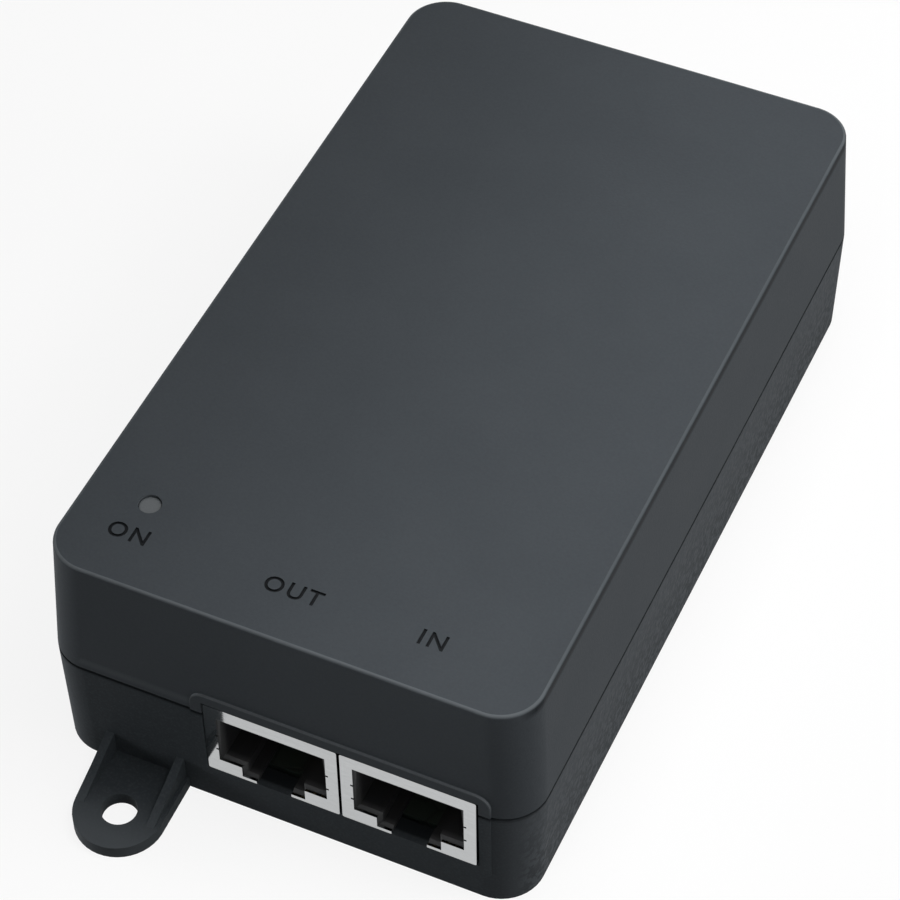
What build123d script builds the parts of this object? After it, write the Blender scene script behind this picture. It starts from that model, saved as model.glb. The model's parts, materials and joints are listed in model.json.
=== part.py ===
from build123d import *
import math
import os

os.makedirs("parts", exist_ok=True)

# A mains power injector for a network cable. Millimetres, +Z up, the two network sockets at the -Y end.
# The origin is the middle of the underside.

# ---------------------------------------------------------------- case shells
case_length = 100.0
case_width = 58.2
case_height = 31.5
parting_height = 15.0
corner_radius = 5.0
foot_corner_radius = 5.0
side_wall = 2.2
roof_thickness = 2.2
floor_thickness = 2.2
cover_draft = 2.9
base_draft = 1.5
top_edge_round = 0.4
seam_gap = 0.4
tongue_inset = 1.2
tongue_height = 1.6
tongue_clearance = 0.1
panel_proud = 0.2
panel_foot = 4.5
panel_corner = 1.8
panel_side_margin = 1.63
panel_head_margin = 1.5
window_gap = 0.25
window_head_gap = 0.1

# ---------------------------------------------------------------- ears
ear_side_inset = 12.1
ear_reach = 7.0
ear_radius = 5.2
ear_root_outer = 6.1
ear_root_inner = 5.0
ear_hole_radius = 2.05
ear_thickness = 1.7
ear_rib_height = 3.15
ear_rib_reach = 7.8
ear_rib_thickness = 1.0
ear_rib_outer_spread = 4.55
ear_rib_inner_spread = 4.2

# ---------------------------------------------------------------- board and its fixings
board_thickness = 1.6
board_lift = 1.85
board_edge_gap = 0.4
board_corner = 3.0
sheet_thickness = 0.3
sheet_edge_gap = 1.5
post_radius = 2.6
tail_length = 1.2
lead_radius = 0.4
lead_hole_gap = 0.1
case_screw_inset = 3.9
case_screw_rear_inset = 12.0
case_screw_radius = 1.45
case_screw_length = 12.0
case_screw_head_radius = 2.7
case_screw_head_height = 1.8
case_screw_sink = 0.2
boss_wall = 1.85
boss_meet_height = 1.4
boss_web = 1.6
screw_gap = 0.08
board_screw_radius = 1.1
board_screw_length = 4.0
board_screw_head_radius = 2.2
board_screw_head_height = 1.6
board_screw_end_inset = 3.0
board_screw_side_inset = 3.7
drive_width = 0.7
drive_depth = 0.9
label_width = 34.0
label_length = 50.0
label_thickness = 0.2
label_sink = 0.05
label_gap = 0.3

# ---------------------------------------------------------------- indicator
lens_side_inset = 8.6
lens_from_front = 12.0
lens_radius = 1.25
lens_gap = 0.05
lens_recess = 0.3
collar_wall = 1.5
collar_depth = 4.0
pipe_flange_step = 0.8
pipe_flange_height = 1.0
led_width = 3.2
led_depth = 1.6
led_height = 1.4
led_air = 0.5

# ---------------------------------------------------------------- network sockets
socket_width = 15.9
socket_height = 11.25
socket_depth = 16.5
socket_gap = 0.34
panel_side_inset = 4.38
shield_sheet = 0.3
shield_corner = 0.6
mouth_width = 13.0
mouth_height = 7.35
mouth_rise = 2.05
step_width = 7.6
step_depth = 1.6
latch_width = 4.2
latch_run = 10.0
finger_slit_width = 0.28
finger_slit_length = 0.3
finger_slit_rises = (1.9, 4.3)
side_ledge = 0.4
floor_ledge = 0.25
ceiling_ledge = 0.1
cavity_rear_wall = 0.61
contact_count = 8
contact_pitch = 1.016
contact_width = 0.46
contact_thickness = 0.3
contact_row_step = 2.54
contact_slot_gap = 0.1
contact_air_above = 0.35
contact_web = 0.5
contact_front_inset = 1.6
contact_rear_inset = 0.45
spring_back_gap = 0.28
spring_drop = 2.3
spring_tip_run = 1.0
spring_pivot_drop = 0.25
spring_gap = 0.12
spring_bay_margin = 0.5

# ---------------------------------------------------------------- mains inlet
inlet_width = 27.4
inlet_height = 19.8
inlet_depth = 20.0
inlet_corner = 1.5
inlet_mouth_width = 24.4
inlet_mouth_height = 16.4
inlet_mouth_chamfer = 4.6
inlet_mouth_depth = 16.5
blade_width = 2.0
blade_height = 4.0
blade_spacing = 14.0
blade_offset = 4.0
blade_recess = 1.2
blade_tail_step = 1.0
blade_tail_thickness = 0.8

# ---------------------------------------------------------------- parts on the board
part_gap = 1.0
board_margin = 1.0
x_cap_width = 15.0
x_cap_depth = 6.5
x_cap_height = 12.5
x_cap_round = 0.6
choke_core_radius = 5.5
choke_core_bore = 3.0
choke_core_height = 5.0
choke_wire = 0.8
choke_winding_arc = 130.0
disc_radius = 4.0
disc_thickness = 3.6
disc_lift = 1.2
fuse_radius = 1.8
fuse_length = 10.0
fuse_cap_length = 2.0
fuse_cap_step = 0.15
bridge_thickness = 3.5
bridge_length = 14.0
bridge_height = 10.0
bridge_lift = 1.5
bulk_radius = 7.5
bulk_height = 20.0
output_cap_radius = 4.0
output_cap_height = 15.0
output_cap_count = 2
can_groove_depth = 0.4
can_groove_rise = 2.0
can_groove_height = 0.6
sleeve_thickness = 0.25
sleeve_gap = 0.05
sleeve_lip = 1.2
core_width = 20.4
core_depth = 7.0
core_back = 3.0
core_leg = 3.2
core_centre_leg = 6.0
core_window_height = 12.0
bobbin_wall = 0.8
bobbin_gap = 0.2
bobbin_depth = 17.0
bobbin_rail = 3.0
winding_margin = 0.6
tape_thickness = 0.25
transistor_width = 10.0
transistor_thickness = 4.4
transistor_body_height = 9.0
transistor_tab_height = 15.5
transistor_tab_thickness = 1.3
transistor_hole_radius = 1.8
transistor_lift = 2.0
transistor_leg_pitch = 2.54
pad_thickness = 0.2
sink_thickness = 1.6
sink_head_gap = 0.4
primary_sink_length = 16.0
secondary_sink_length = 13.0
sink_lip = 3.0
sink_screw_radius = 1.4
sink_screw_head_radius = 2.6
sink_screw_head_height = 1.8
sink_screw_extra = 1.0
inductor_radius = 4.0
inductor_height = 9.0
inductor_flange = 1.2
inductor_neck = 2.0
opto_width = 4.6
opto_depth = 6.4
opto_height = 3.4
chip_lift = 0.1
supply_chip_width = 5.0
supply_chip_depth = 4.0
supply_chip_height = 1.5
port_chip_size = 7.0
port_chip_height = 1.2
magnetics_width = 13.0
magnetics_depth = 8.0
magnetics_height = 5.6
small_chip_length = 2.0
small_chip_width = 1.25
small_chip_height = 0.6
small_chip_count = 6
small_chip_gap = 0.9

# ---------------------------------------------------------------- places that follow from the sizes
half_length = case_length / 2
half_width = case_width / 2
roof_underside = case_height - roof_thickness
board_bottom = floor_thickness + board_lift
board_top = board_bottom + board_thickness
tail_end = board_bottom - tail_length
panel_face = half_length + panel_proud
socket_front = -panel_face
socket_back = socket_front + socket_depth
socket_top = board_top + socket_height
socket_pitch = socket_width + socket_gap
port_panel_width = socket_pitch + socket_width + 2 * panel_side_margin
socket_pair_x = half_width - panel_side_inset - port_panel_width / 2
socket_xs = (socket_pair_x - socket_pitch / 2, socket_pair_x + socket_pitch / 2)
inlet_back = panel_face - inlet_depth
inlet_top = board_top + inlet_height
boss_radius = case_screw_radius + boss_wall
boss_meet = board_top + boss_meet_height
case_screw_x = half_width - side_wall - case_screw_inset
case_screw_front_y = socket_back + boss_radius + part_gap
case_screw_rear_y = half_length - case_screw_rear_inset
case_screw_ys = (case_screw_front_y, case_screw_rear_y)
case_screw_places = [(side * case_screw_x, y) for side in (-1, 1) for y in case_screw_ys]
case_screw_seat = case_screw_sink + case_screw_head_height
inlet_x = -(case_screw_x - boss_radius - part_gap) + inlet_width / 2
ear_hole_x = half_width - ear_side_inset
lens_x = -(half_width - lens_side_inset)
lens_y = -half_length + lens_from_front
through_holes = []


# ---------------------------------------------------------------- helpers
def block(x_span, y_span, z_span):
    """A box between two values on each axis."""
    size = [high - low for low, high in (x_span, y_span, z_span)]
    middle = [(high + low) / 2 for low, high in (x_span, y_span, z_span)]
    return Pos(*middle) * Box(*size)


def around(centre, size):
    """The span of a size about its centre."""
    return (centre - size / 2, centre + size / 2)


def rod(x, y, radius, z_low, z_high):
    """An upright cylinder between two heights."""
    return Pos(x, y, (z_low + z_high) / 2) * Cylinder(radius, z_high - z_low)


def along_y(outline, y_low, y_high):
    """A flat outline in X and Z, carried from one Y to another."""
    plane = Plane(origin=(0, y_high, 0), x_dir=(1, 0, 0), z_dir=(0, -1, 0))
    return extrude(plane * outline, amount=y_high - y_low)


def along_x(outline, x_low, x_high):
    """A flat outline in Y and Z, carried from one X to another."""
    plane = Plane(origin=(x_low, 0, 0), x_dir=(0, 1, 0), z_dir=(1, 0, 0))
    return extrude(plane * outline, amount=x_high - x_low)


def rectangle(u_span, v_span):
    """A flat rectangle between two values on each axis of its plane."""
    middle = (sum(u_span) / 2, sum(v_span) / 2)
    return Pos(*middle) * Rectangle(u_span[1] - u_span[0], v_span[1] - v_span[0])


def join(shapes):
    """One shape from several that touch or overlap."""
    whole = shapes[0]
    for shape in shapes[1:]:
        whole = whole + shape
    return whole


def cut(shape, tools):
    """A shape with several others taken out of it."""
    for tool in tools:
        shape = shape - tool
    return shape


def lead(x, y, top, low=None):
    """A round lead from a height down through the board, with its hole noted for the board."""
    through_holes.append((x, y))
    return rod(x, y, lead_radius, tail_end if low is None else low, top)


def save(name, shapes):
    """Writes one node, as a single shape or as a group of separate solids."""
    solids = []
    for shape in shapes if isinstance(shapes, list) else [shapes]:
        solids += shape.solids()
    node = solids[0] if len(solids) == 1 else Compound(solids)
    node.label = name
    export_step(node, f"parts/{name}.step")


# ---------------------------------------------------------------- case
def cover_inset(z):
    """How far the cover's sides lean in at a height."""
    return (z - parting_height) * math.tan(math.radians(cover_draft))


def base_inset(z):
    """How far the bottom case's sides lean in at a height."""
    return (parting_height - z) * math.tan(math.radians(base_draft))


def outline_at(inset, radius, z, end_inset=None):
    """The case's rounded outline at a height, drawn inwards by an inset, or by another one at its ends."""
    ends = inset if end_inset is None else end_inset
    outline = RectangleRounded(case_width - 2 * inset, case_length - 2 * ends, radius)
    return Plane.XY.offset(z) * outline


def drafted(low, high):
    """A block between two outlines, each given by its inset, corner radius and height."""
    return loft([outline_at(*low), outline_at(*high)], ruled=True)


def raised_panel(x_centre, width, top, end):
    """The raised panel round the sockets or the inlet, with a rounded head. Its face leans out of the wall
    from its foot up to the seam."""
    outline = rectangle(around(x_centre, width), (panel_foot, top))
    outline = fillet(outline.vertices().group_by(Axis.Y)[-1], panel_corner)
    root = half_length - side_wall
    slab = along_y(outline, *sorted((end * panel_face, end * root)))
    side_view = make_face(
        Polyline(
            (end * root, panel_foot),
            (end * half_length, panel_foot),
            (end * panel_face, parting_height),
            (end * panel_face, top),
            (end * root, top),
            close=True,
        )
    )
    return slab & along_x(side_view, *around(x_centre, width))


def port_panel():
    """The panel round the two network sockets."""
    return raised_panel(socket_pair_x, port_panel_width, socket_top + panel_head_margin, -1)


def inlet_panel():
    """The panel round the mains inlet."""
    width = inlet_width + 2 * panel_side_margin
    return raised_panel(inlet_x, width, inlet_top + panel_head_margin, 1)


def windows():
    """The two holes in the case ends, for the sockets and for the inlet."""
    reach = side_wall + 2 * panel_proud + cover_inset(case_height)
    sill = board_top - window_gap
    socket_span = around(socket_pair_x, socket_pitch + socket_width + 2 * window_gap)
    inlet_span = around(inlet_x, inlet_width + 2 * window_gap)
    front_span = (-panel_face - panel_proud, -panel_face + reach)
    rear_span = (panel_face - reach, panel_face + panel_proud)
    front = block(socket_span, front_span, (sill, socket_top + window_head_gap))
    rear = block(inlet_span, rear_span, (sill, inlet_top + window_gap))
    return [front, rear]


def ear():
    """One flat fixing ear with its hole and two ribs, at the -Y end."""
    hole_y = -half_length - ear_reach
    root_y = (-half_length, -half_length + side_wall)
    root = rectangle((-ear_hole_x - ear_root_outer, -ear_hole_x + ear_root_inner), root_y)
    tip = Pos(-ear_hole_x, hole_y) * Circle(ear_radius)
    flat = extrude(make_hull(root.edges() + tip.edges()), amount=ear_thickness)
    rib_top = ear_thickness + ear_rib_height
    triangle = make_face(
        Polyline(
            (root_y[1], 0),
            (root_y[1], rib_top),
            (root_y[0], rib_top),
            (-half_length - ear_rib_reach, ear_thickness),
            (-half_length - ear_rib_reach, 0),
            close=True,
        )
    )
    rib_xs = (-ear_hole_x - ear_rib_outer_spread, -ear_hole_x + ear_rib_inner_spread)
    ribs = [along_x(triangle, *around(x, ear_rib_thickness)) for x in rib_xs]
    hole = rod(-ear_hole_x, hole_y, ear_hole_radius, -1, rib_top + 1)
    return join([flat] + ribs) - hole


def board_screw_places():
    """The two board screws, in opposite corners of the board."""
    side = half_width - side_wall - board_screw_side_inset
    end = half_length - side_wall - board_screw_end_inset
    return [(-side, -end), (side, end)]


def make_top_cover():
    """The upper shell, with its rebate for the tongue, its screw bosses and the collar of the light pipe."""
    low = parting_height + seam_gap / 2
    below = parting_height - 1
    top_outline = (cover_inset(case_height), corner_radius, case_height)
    outer = drafted((cover_inset(low), corner_radius, low), top_outline)
    outer = fillet(outer.faces().sort_by(Axis.Z)[-1].edges(), top_edge_round)
    above_seam = block((-half_width, half_width), (-case_length, case_length), (low, case_height))
    outer = outer + (port_panel() & above_seam) + (inlet_panel() & above_seam)
    inner_radius = corner_radius - side_wall
    cavity = drafted(
        (side_wall + cover_inset(below), inner_radius, below),
        (side_wall + cover_inset(roof_underside), inner_radius, roof_underside),
    )
    rebate_inset = tongue_inset - tongue_clearance
    rebate = drafted(
        (rebate_inset, corner_radius - rebate_inset, below),
        (rebate_inset, corner_radius - rebate_inset, parting_height + tongue_height),
    )
    shell = cut(outer, [cavity, rebate])
    web_low = parting_height + tongue_height + part_gap
    for x, y in case_screw_places:
        side = math.copysign(1, x)
        wall_x = side * (half_width - side_wall / 2 - cover_inset(case_height))
        shell = shell + rod(x, y, boss_radius, boss_meet, roof_underside + 0.5)
        shell = shell + block(sorted((x, wall_x)), around(y, boss_web), (web_low, roof_underside + 0.5))
    hole_top = case_screw_seat + case_screw_length + 1
    pilots = [rod(x, y, case_screw_radius + screw_gap, boss_meet - 1, hole_top) for x, y in case_screw_places]
    collar_span = (roof_underside - collar_depth, roof_underside + roof_thickness / 4)
    collar = rod(lens_x, lens_y, lens_radius + collar_wall, *collar_span)
    bore = rod(lens_x, lens_y, lens_radius + lens_gap, roof_underside - collar_depth - 1, case_height + 1)
    return cut(shell + collar, pilots + [bore] + windows())


def make_bottom_case():
    """The lower shell, with its tongue, ears, screw bosses and board posts."""
    high = parting_height - seam_gap / 2
    foot = outline_at(base_inset(0), foot_corner_radius, 0, 0)
    outer = loft([foot, outline_at(base_inset(high), corner_radius, high, 0)], ruled=True)
    below_seam = block((-half_width, half_width), (-case_length, case_length), (0, high))
    outer = outer + (port_panel() & below_seam) + (inlet_panel() & below_seam)
    outer = outer + ear() + Rot(0, 0, 180) * ear()
    tongue_top = parting_height + tongue_height
    tongue_low = high - tongue_height / 2
    tongue_outline = outline_at(tongue_inset, corner_radius - tongue_inset, tongue_low)
    tongue = extrude(tongue_outline, amount=tongue_top - tongue_low)
    cavity = drafted(
        (side_wall + base_inset(floor_thickness), foot_corner_radius - side_wall, floor_thickness),
        (side_wall + base_inset(tongue_top + 1), corner_radius - side_wall, tongue_top + 1),
    )
    shell = (outer + tongue) - cavity
    cutters = windows()
    for x, y in case_screw_places:
        side = math.copysign(1, x)
        wall_x = side * (half_width - side_wall / 2 - base_inset(0))
        shell = shell + rod(x, y, boss_radius, floor_thickness - 0.5, boss_meet)
        shell = shell + block(sorted((x, wall_x)), around(y, boss_web), (floor_thickness - 0.5, boss_meet))
        cutters.append(rod(x, y, case_screw_head_radius + screw_gap * 3, -1, case_screw_seat))
        cutters.append(rod(x, y, case_screw_radius + screw_gap, 0, boss_meet + 1))
    for x, y in board_screw_places():
        shell = shell + rod(x, y, post_radius, floor_thickness - 0.5, board_bottom)
        pilot_low = board_top - board_screw_length - 0.3
        cutters.append(rod(x, y, board_screw_radius + screw_gap, pilot_low, board_bottom + 1))
    for x, y in rest_post_places():
        shell = shell + rod(x, y, post_radius, floor_thickness - 0.5, board_bottom)
    recess = around(0, label_width + 2 * label_gap), around(0, label_length + 2 * label_gap)
    cutters.append(block(*recess, (-1, label_thickness + label_sink)))
    return cut(shell, cutters)


def rest_post_places():
    """Plain posts that the board lies on: one behind the inlet's corner, one behind the front row."""
    side = half_width - side_wall - board_screw_side_inset
    rear = rear_row_end - post_radius
    return [(-side, rear), (side, case_screw_front_y + boss_radius + part_gap + post_radius)]


def cross_drive(x, y, z_open, direction, reach):
    """The cross-shaped drive of a screw head, cut from its open face."""
    span = sorted((z_open, z_open - direction * drive_depth))
    bar = block(around(x, reach), around(y, drive_width), span)
    return bar + block(around(x, drive_width), around(y, reach), span)


def make_case_screws():
    """Four screws from below that hold the two shells together."""
    screws = []
    for x, y in case_screw_places:
        head = rod(x, y, case_screw_head_radius, case_screw_sink, case_screw_seat)
        shank = rod(x, y, case_screw_radius, case_screw_seat, case_screw_seat + case_screw_length)
        drive = cross_drive(x, y, case_screw_sink, -1, case_screw_head_radius * 1.2)
        screws.append(head + shank - drive)
    return screws


def make_board_screws():
    """Two screws that hold the board on its posts."""
    screws = []
    for x, y in board_screw_places():
        head = rod(x, y, board_screw_head_radius, board_top, board_top + board_screw_head_height)
        shank = rod(x, y, board_screw_radius, board_top - board_screw_length, board_top)
        drive = cross_drive(x, y, board_top + board_screw_head_height, 1, board_screw_head_radius * 1.2)
        screws.append(head + shank - drive)
    return screws


def make_rating_label():
    """A blank label in its recess in the underside."""
    return block(around(0, label_width), around(0, label_length), (label_sink, label_sink + label_thickness))


# ---------------------------------------------------------------- board
def make_main_board():
    """The circuit board, with open notches for the case bosses and a hole for every lead."""
    edge = side_wall + base_inset(board_bottom) + board_edge_gap
    outline = RectangleRounded(case_width - 2 * edge, case_length - 2 * edge, board_corner)
    for x, y in case_screw_places:
        side = math.copysign(1, x)
        notch = boss_radius + board_edge_gap
        outline = outline - Pos(x, y) * Circle(notch)
        outline = outline - rectangle(sorted((x, side * half_width)), around(y, 2 * notch))
    for x, y in board_screw_places():
        outline = outline - Pos(x, y) * Circle(board_screw_radius + screw_gap)
    for x, y in through_holes:
        outline = outline - Pos(x, y) * Circle(lead_radius + lead_hole_gap)
    return extrude(Plane.XY.offset(board_bottom) * outline, amount=board_thickness)


def make_insulation_sheet():
    """A thin sheet on the floor of the case, under the board's solder side."""
    edge = side_wall + base_inset(0) + sheet_edge_gap
    outline = RectangleRounded(case_width - 2 * edge, case_length - 2 * edge, board_corner)
    for x, y in case_screw_places:
        side = math.copysign(1, x)
        notch = boss_radius + board_edge_gap
        outline = outline - Pos(x, y) * Circle(notch)
        outline = outline - rectangle(sorted((x, side * half_width)), around(y, 2 * notch))
    for x, y in board_screw_places() + rest_post_places():
        side = math.copysign(1, x)
        notch = post_radius + board_edge_gap
        outline = outline - Pos(x, y) * Circle(notch)
        outline = outline - rectangle(sorted((x, side * half_width)), around(y, 2 * notch))
    return extrude(Plane.XY.offset(floor_thickness) * outline, amount=sheet_thickness)


# ---------------------------------------------------------------- indicator
def make_light_pipe():
    """A clear rod from just above the LED to just under the cover's top face, hung on its flange."""
    collar_end = roof_underside - collar_depth
    low = board_top + led_height + led_air
    pipe = rod(lens_x, lens_y, lens_radius, low, case_height - lens_recess)
    flange = rod(lens_x, lens_y, lens_radius + pipe_flange_step, collar_end - pipe_flange_height, collar_end)
    return pipe + flange


def make_power_led():
    """The indicator LED on the board: a pale base with a domed top."""
    base_span = (board_top, board_top + led_height / 2)
    base = block(around(lens_x, led_width), around(lens_y, led_depth), base_span)
    dome = rod(lens_x, lens_y, led_depth / 2, board_top + led_height / 2, board_top + led_height)
    return base + dome


# ---------------------------------------------------------------- network sockets
mouth_low = board_top + mouth_rise
mouth_high = mouth_low + mouth_height
housing_top = socket_top - shield_sheet
lead_top = housing_top - contact_air_above
lead_bottom = lead_top - contact_thickness
bay_ceiling = lead_bottom - contact_web
contact_front = socket_front + contact_front_inset
contact_rear = socket_back - shield_sheet - contact_rear_inset
spring_pivot_y = contact_front + contact_thickness + spring_gap + contact_thickness / 2
spring_pivot_z = bay_ceiling - spring_pivot_drop
cavity_back = contact_rear - contact_row_step - contact_thickness - contact_slot_gap - cavity_rear_wall
spring_tip_y = cavity_back - spring_back_gap - contact_thickness / 2


def contact_xs(x):
    """The middles of a socket's contacts."""
    first = x - (contact_count - 1) * contact_pitch / 2
    return [first + index * contact_pitch for index in range(contact_count)]


def mouth_outline(x, sides, floor, ceiling):
    """The socket's opening in X and Z: the plug's space and the step for its latch, drawn in by ledges."""
    main = rectangle(around(x, mouth_width - 2 * sides), (mouth_low + floor, mouth_high - ceiling))
    step_span = (mouth_low - step_depth + floor, mouth_high - ceiling)
    step = rectangle(around(x, step_width - 2 * sides), step_span)
    return main + step


def make_socket_shield(x):
    """The bent-metal shell of one socket: face, top, sides and back, open underneath."""
    outline = rectangle(around(x, socket_width), (board_top, socket_top))
    outline = fillet(outline.vertices(), shield_corner)
    shell = along_y(outline, socket_front, socket_back)
    inside_x = around(x, socket_width - 2 * shield_sheet)
    inside_y = (socket_front + shield_sheet, socket_back - shield_sheet)
    inside = block(inside_x, inside_y, (board_top - 1, housing_top))
    mouth = along_y(mouth_outline(x, 0, 0, 0), socket_front - 1, socket_front + 1)
    front_y = (socket_front - 1, socket_front + shield_sheet + 0.1)
    latch = block(around(x, latch_width), front_y, (board_top - 1, mouth_low))
    slits = []
    for rise in finger_slit_rises:
        reach = around(x, mouth_width + 2 * finger_slit_length)
        slits.append(block(reach, front_y, around(mouth_low + rise, finger_slit_width)))
    return cut(shell, [inside, mouth, latch] + slits)


def lead_run(x, row, slack, top):
    """One fixed contact: a drop behind the mouth, a run along the top and a leg down at the rear."""
    width = around(x, contact_width + 2 * slack)
    leg_y = contact_rear - row * contact_row_step
    run = block(width, (contact_front - slack, leg_y + slack), (lead_bottom, top))
    drop_y = (contact_front - slack, contact_front + contact_thickness + slack)
    drop = block(width, drop_y, (spring_pivot_z, top))
    leg_span = (leg_y - contact_thickness - slack, leg_y + slack)
    leg = block(width, leg_span, (board_top if slack else tail_end, top))
    return run + drop + leg


def make_socket_leads(x):
    """The eight fixed contacts of one socket, with their legs in two staggered rows."""
    leads = []
    for index, contact_x in enumerate(contact_xs(x)):
        row = index % 2
        leads.append(lead_run(contact_x, row, 0, lead_top))
        through_holes.append((contact_x, contact_rear - row * contact_row_step - contact_thickness / 2))
    return leads


def make_socket_housing(x):
    """The black insert of one socket: plug space, latch step, bay for the springs and slots for the leads."""
    width = socket_width - 2 * shield_sheet
    body = block(
        around(x, width), (socket_front + shield_sheet, socket_back - shield_sheet), (board_top, housing_top)
    )
    cavity = along_y(mouth_outline(x, side_ledge, floor_ledge, ceiling_ledge), socket_front - 1, cavity_back)
    bay_width = (contact_count - 1) * contact_pitch + contact_width + 2 * spring_bay_margin
    bay_y = (contact_front - spring_bay_margin, cavity_back)
    bay = block(around(x, bay_width), bay_y, (mouth_high - ceiling_ledge - 1, bay_ceiling))
    slots = [
        lead_run(contact_x, index % 2, contact_slot_gap, housing_top + 1)
        for index, contact_x in enumerate(contact_xs(x))
    ]
    latch_y = (socket_front - 1, socket_front + latch_run)
    latch = block(around(x, latch_width), latch_y, (board_top - 1, mouth_low))
    return cut(body, [cavity, bay, latch] + slots)


def make_socket_springs(x):
    """The eight sprung arms of one socket, which a plug lifts."""
    knee = (spring_tip_y - spring_tip_run, spring_pivot_z - spring_drop)
    tip = (spring_tip_y, knee[1] + spring_tip_run / 2)
    arms = []
    for contact_x in contact_xs(x):
        x_span = around(contact_x, contact_width)
        arm = along_x(flat_bar((spring_pivot_y, spring_pivot_z), knee), *x_span)
        arms.append(arm + along_x(flat_bar(knee, tip), *x_span))
    return arms


def flat_bar(start, end):
    """A straight strip of contact metal with round ends, in Y and Z."""
    run = end[0] - start[0]
    rise = end[1] - start[1]
    slot = SlotCenterToCenter(math.hypot(run, rise), contact_thickness)
    middle = ((start[0] + end[0]) / 2, (start[1] + end[1]) / 2)
    return Pos(*middle) * Rot(0, 0, math.degrees(math.atan2(rise, run))) * slot


# ---------------------------------------------------------------- mains inlet
inlet_middle_z = board_top + inlet_height / 2
inlet_cavity_back = panel_face - inlet_mouth_depth


def blade_places():
    """The three blades of the inlet: their X, their middle height and whether they are the earth."""
    low = inlet_middle_z - blade_offset / 2
    high = inlet_middle_z + blade_offset / 2
    power = [(inlet_x + side * blade_spacing / 2, low) for side in (-1, 1)]
    return power, (inlet_x, high)


def make_blade(x, z, slack=0.0):
    """One blade, from near the mouth back through the inlet's rear wall and down through the board."""
    tail_y = (inlet_back - blade_tail_step - blade_tail_thickness, inlet_back - blade_tail_step)
    bar = block(
        around(x, blade_width + 2 * slack), (tail_y[0], panel_face - blade_recess), around(z, blade_height + 2 * slack)
    )
    if slack:
        return bar
    tail_middle = sum(tail_y) / 2
    leg = block(around(x, blade_width), tail_y, (board_top, z))
    return bar + leg + lead(x, tail_middle, board_top)


def make_inlet_housing():
    """The black body of the mains inlet, with its six-sided mouth."""
    outline = rectangle(around(inlet_x, inlet_width), (board_top, inlet_top))
    outline = fillet(outline.vertices(), inlet_corner)
    body = along_y(outline, inlet_back, panel_face)
    mouth = rectangle(around(inlet_x, inlet_mouth_width), around(inlet_middle_z, inlet_mouth_height))
    mouth = chamfer(mouth.vertices().group_by(Axis.Y)[-1], inlet_mouth_chamfer)
    cutters = [along_y(mouth, inlet_cavity_back, panel_face + 1)]
    power, earth = blade_places()
    for x, z in power + [earth]:
        cutters.append(block(around(x, blade_width), (inlet_back - 1, panel_face), around(z, blade_height)))
    return cut(body, cutters)


# ---------------------------------------------------------------- rows on the board
left_edge = -half_width + side_wall + base_inset(board_bottom) + board_edge_gap + board_margin
rear_row_end = inlet_back - blade_tail_step - blade_tail_thickness - part_gap
choke_width = 2 * (choke_core_radius + choke_wire)
fuse_width = 2 * (fuse_radius + fuse_cap_step)
rear_row_depth = max(choke_width, fuse_length + 6 * lead_radius, x_cap_depth, 2 * disc_radius)
rear_row_y = rear_row_end - rear_row_depth / 2
mid_row_depth = max(bobbin_depth, 2 * bulk_radius, primary_sink_length)
mid_row_y = rear_row_end - rear_row_depth - part_gap - mid_row_depth / 2
output_row_depth = max(2 * output_cap_radius, 2 * inductor_radius, opto_depth)
output_row_y = mid_row_y - mid_row_depth / 2 - part_gap - output_row_depth / 2
front_row_y = socket_back + part_gap + magnetics_depth / 2


def row_of(widths, start):
    """The middles of pieces of the given widths, set side by side with a gap between them."""
    middles = []
    for width in widths:
        middles.append(start + width / 2)
        start += width + part_gap
    return middles


x_cap_x, choke_x, thermistor_x, y_cap_x, fuse_x = row_of(
    [x_cap_width, choke_width, disc_thickness, disc_thickness, fuse_width], left_edge
)
bulk_x, core_x, transistor_x = row_of(
    [2 * bulk_radius, core_width, transistor_thickness + pad_thickness], left_edge
)
primary_sink_x = transistor_x + (transistor_thickness + pad_thickness) / 2 + sink_thickness / 2
output_xs = row_of([2 * output_cap_radius] * output_cap_count, left_edge)
inductor_x, secondary_sink_x, opto_x = row_of(
    [2 * inductor_radius, secondary_sink_length, opto_width], output_xs[-1] + output_cap_radius + part_gap
)
bridge_x = inlet_x + inlet_width / 2 + part_gap + bridge_thickness / 2
bridge_y = (inlet_back + half_length - side_wall) / 2


# ---------------------------------------------------------------- mains side parts
def make_x_capacitor():
    """The boxed capacitor across the mains."""
    height_span = (board_top, board_top + x_cap_height)
    box = block(around(x_cap_x, x_cap_width), around(rear_row_y, x_cap_depth), height_span)
    box = fillet(box.edges().filter_by(Axis.Z), x_cap_round)
    legs = [lead(x_cap_x + side * x_cap_width / 3, rear_row_y, board_top) for side in (-1, 1)]
    return join([box] + legs)


choke_low = board_top + choke_wire


def make_choke_core():
    """The ring core of the line choke."""
    ring = rod(choke_x, rear_row_y, choke_core_radius, choke_low, choke_low + choke_core_height)
    return ring - rod(choke_x, rear_row_y, choke_core_bore, choke_low - 1, choke_low + choke_core_height + 1)


def make_choke_windings():
    """Two windings, each wound over one side of the ring core."""
    radii = (choke_core_bore - choke_wire, choke_core_radius + choke_wire)
    section = rectangle(radii, (-choke_wire, choke_core_height + choke_wire))
    windings = []
    for start in (-choke_winding_arc / 2, 180 - choke_winding_arc / 2):
        sector = revolve(Plane.XZ * section, axis=Axis.Z, revolution_arc=choke_winding_arc)
        placed = Pos(choke_x, rear_row_y, choke_low) * Rot(0, 0, start) * sector
        winding = placed - make_choke_core()
        middle = math.radians(start + choke_winding_arc / 2)
        reach = choke_core_radius
        for turn in (-1, 1):
            angle = middle + turn * math.radians(choke_winding_arc / 3)
            x = choke_x + reach * math.cos(angle)
            y = rear_row_y + reach * math.sin(angle)
            winding = winding + lead(x, y, choke_low - choke_wire / 2)
        windings.append(winding)
    return windings


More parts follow.
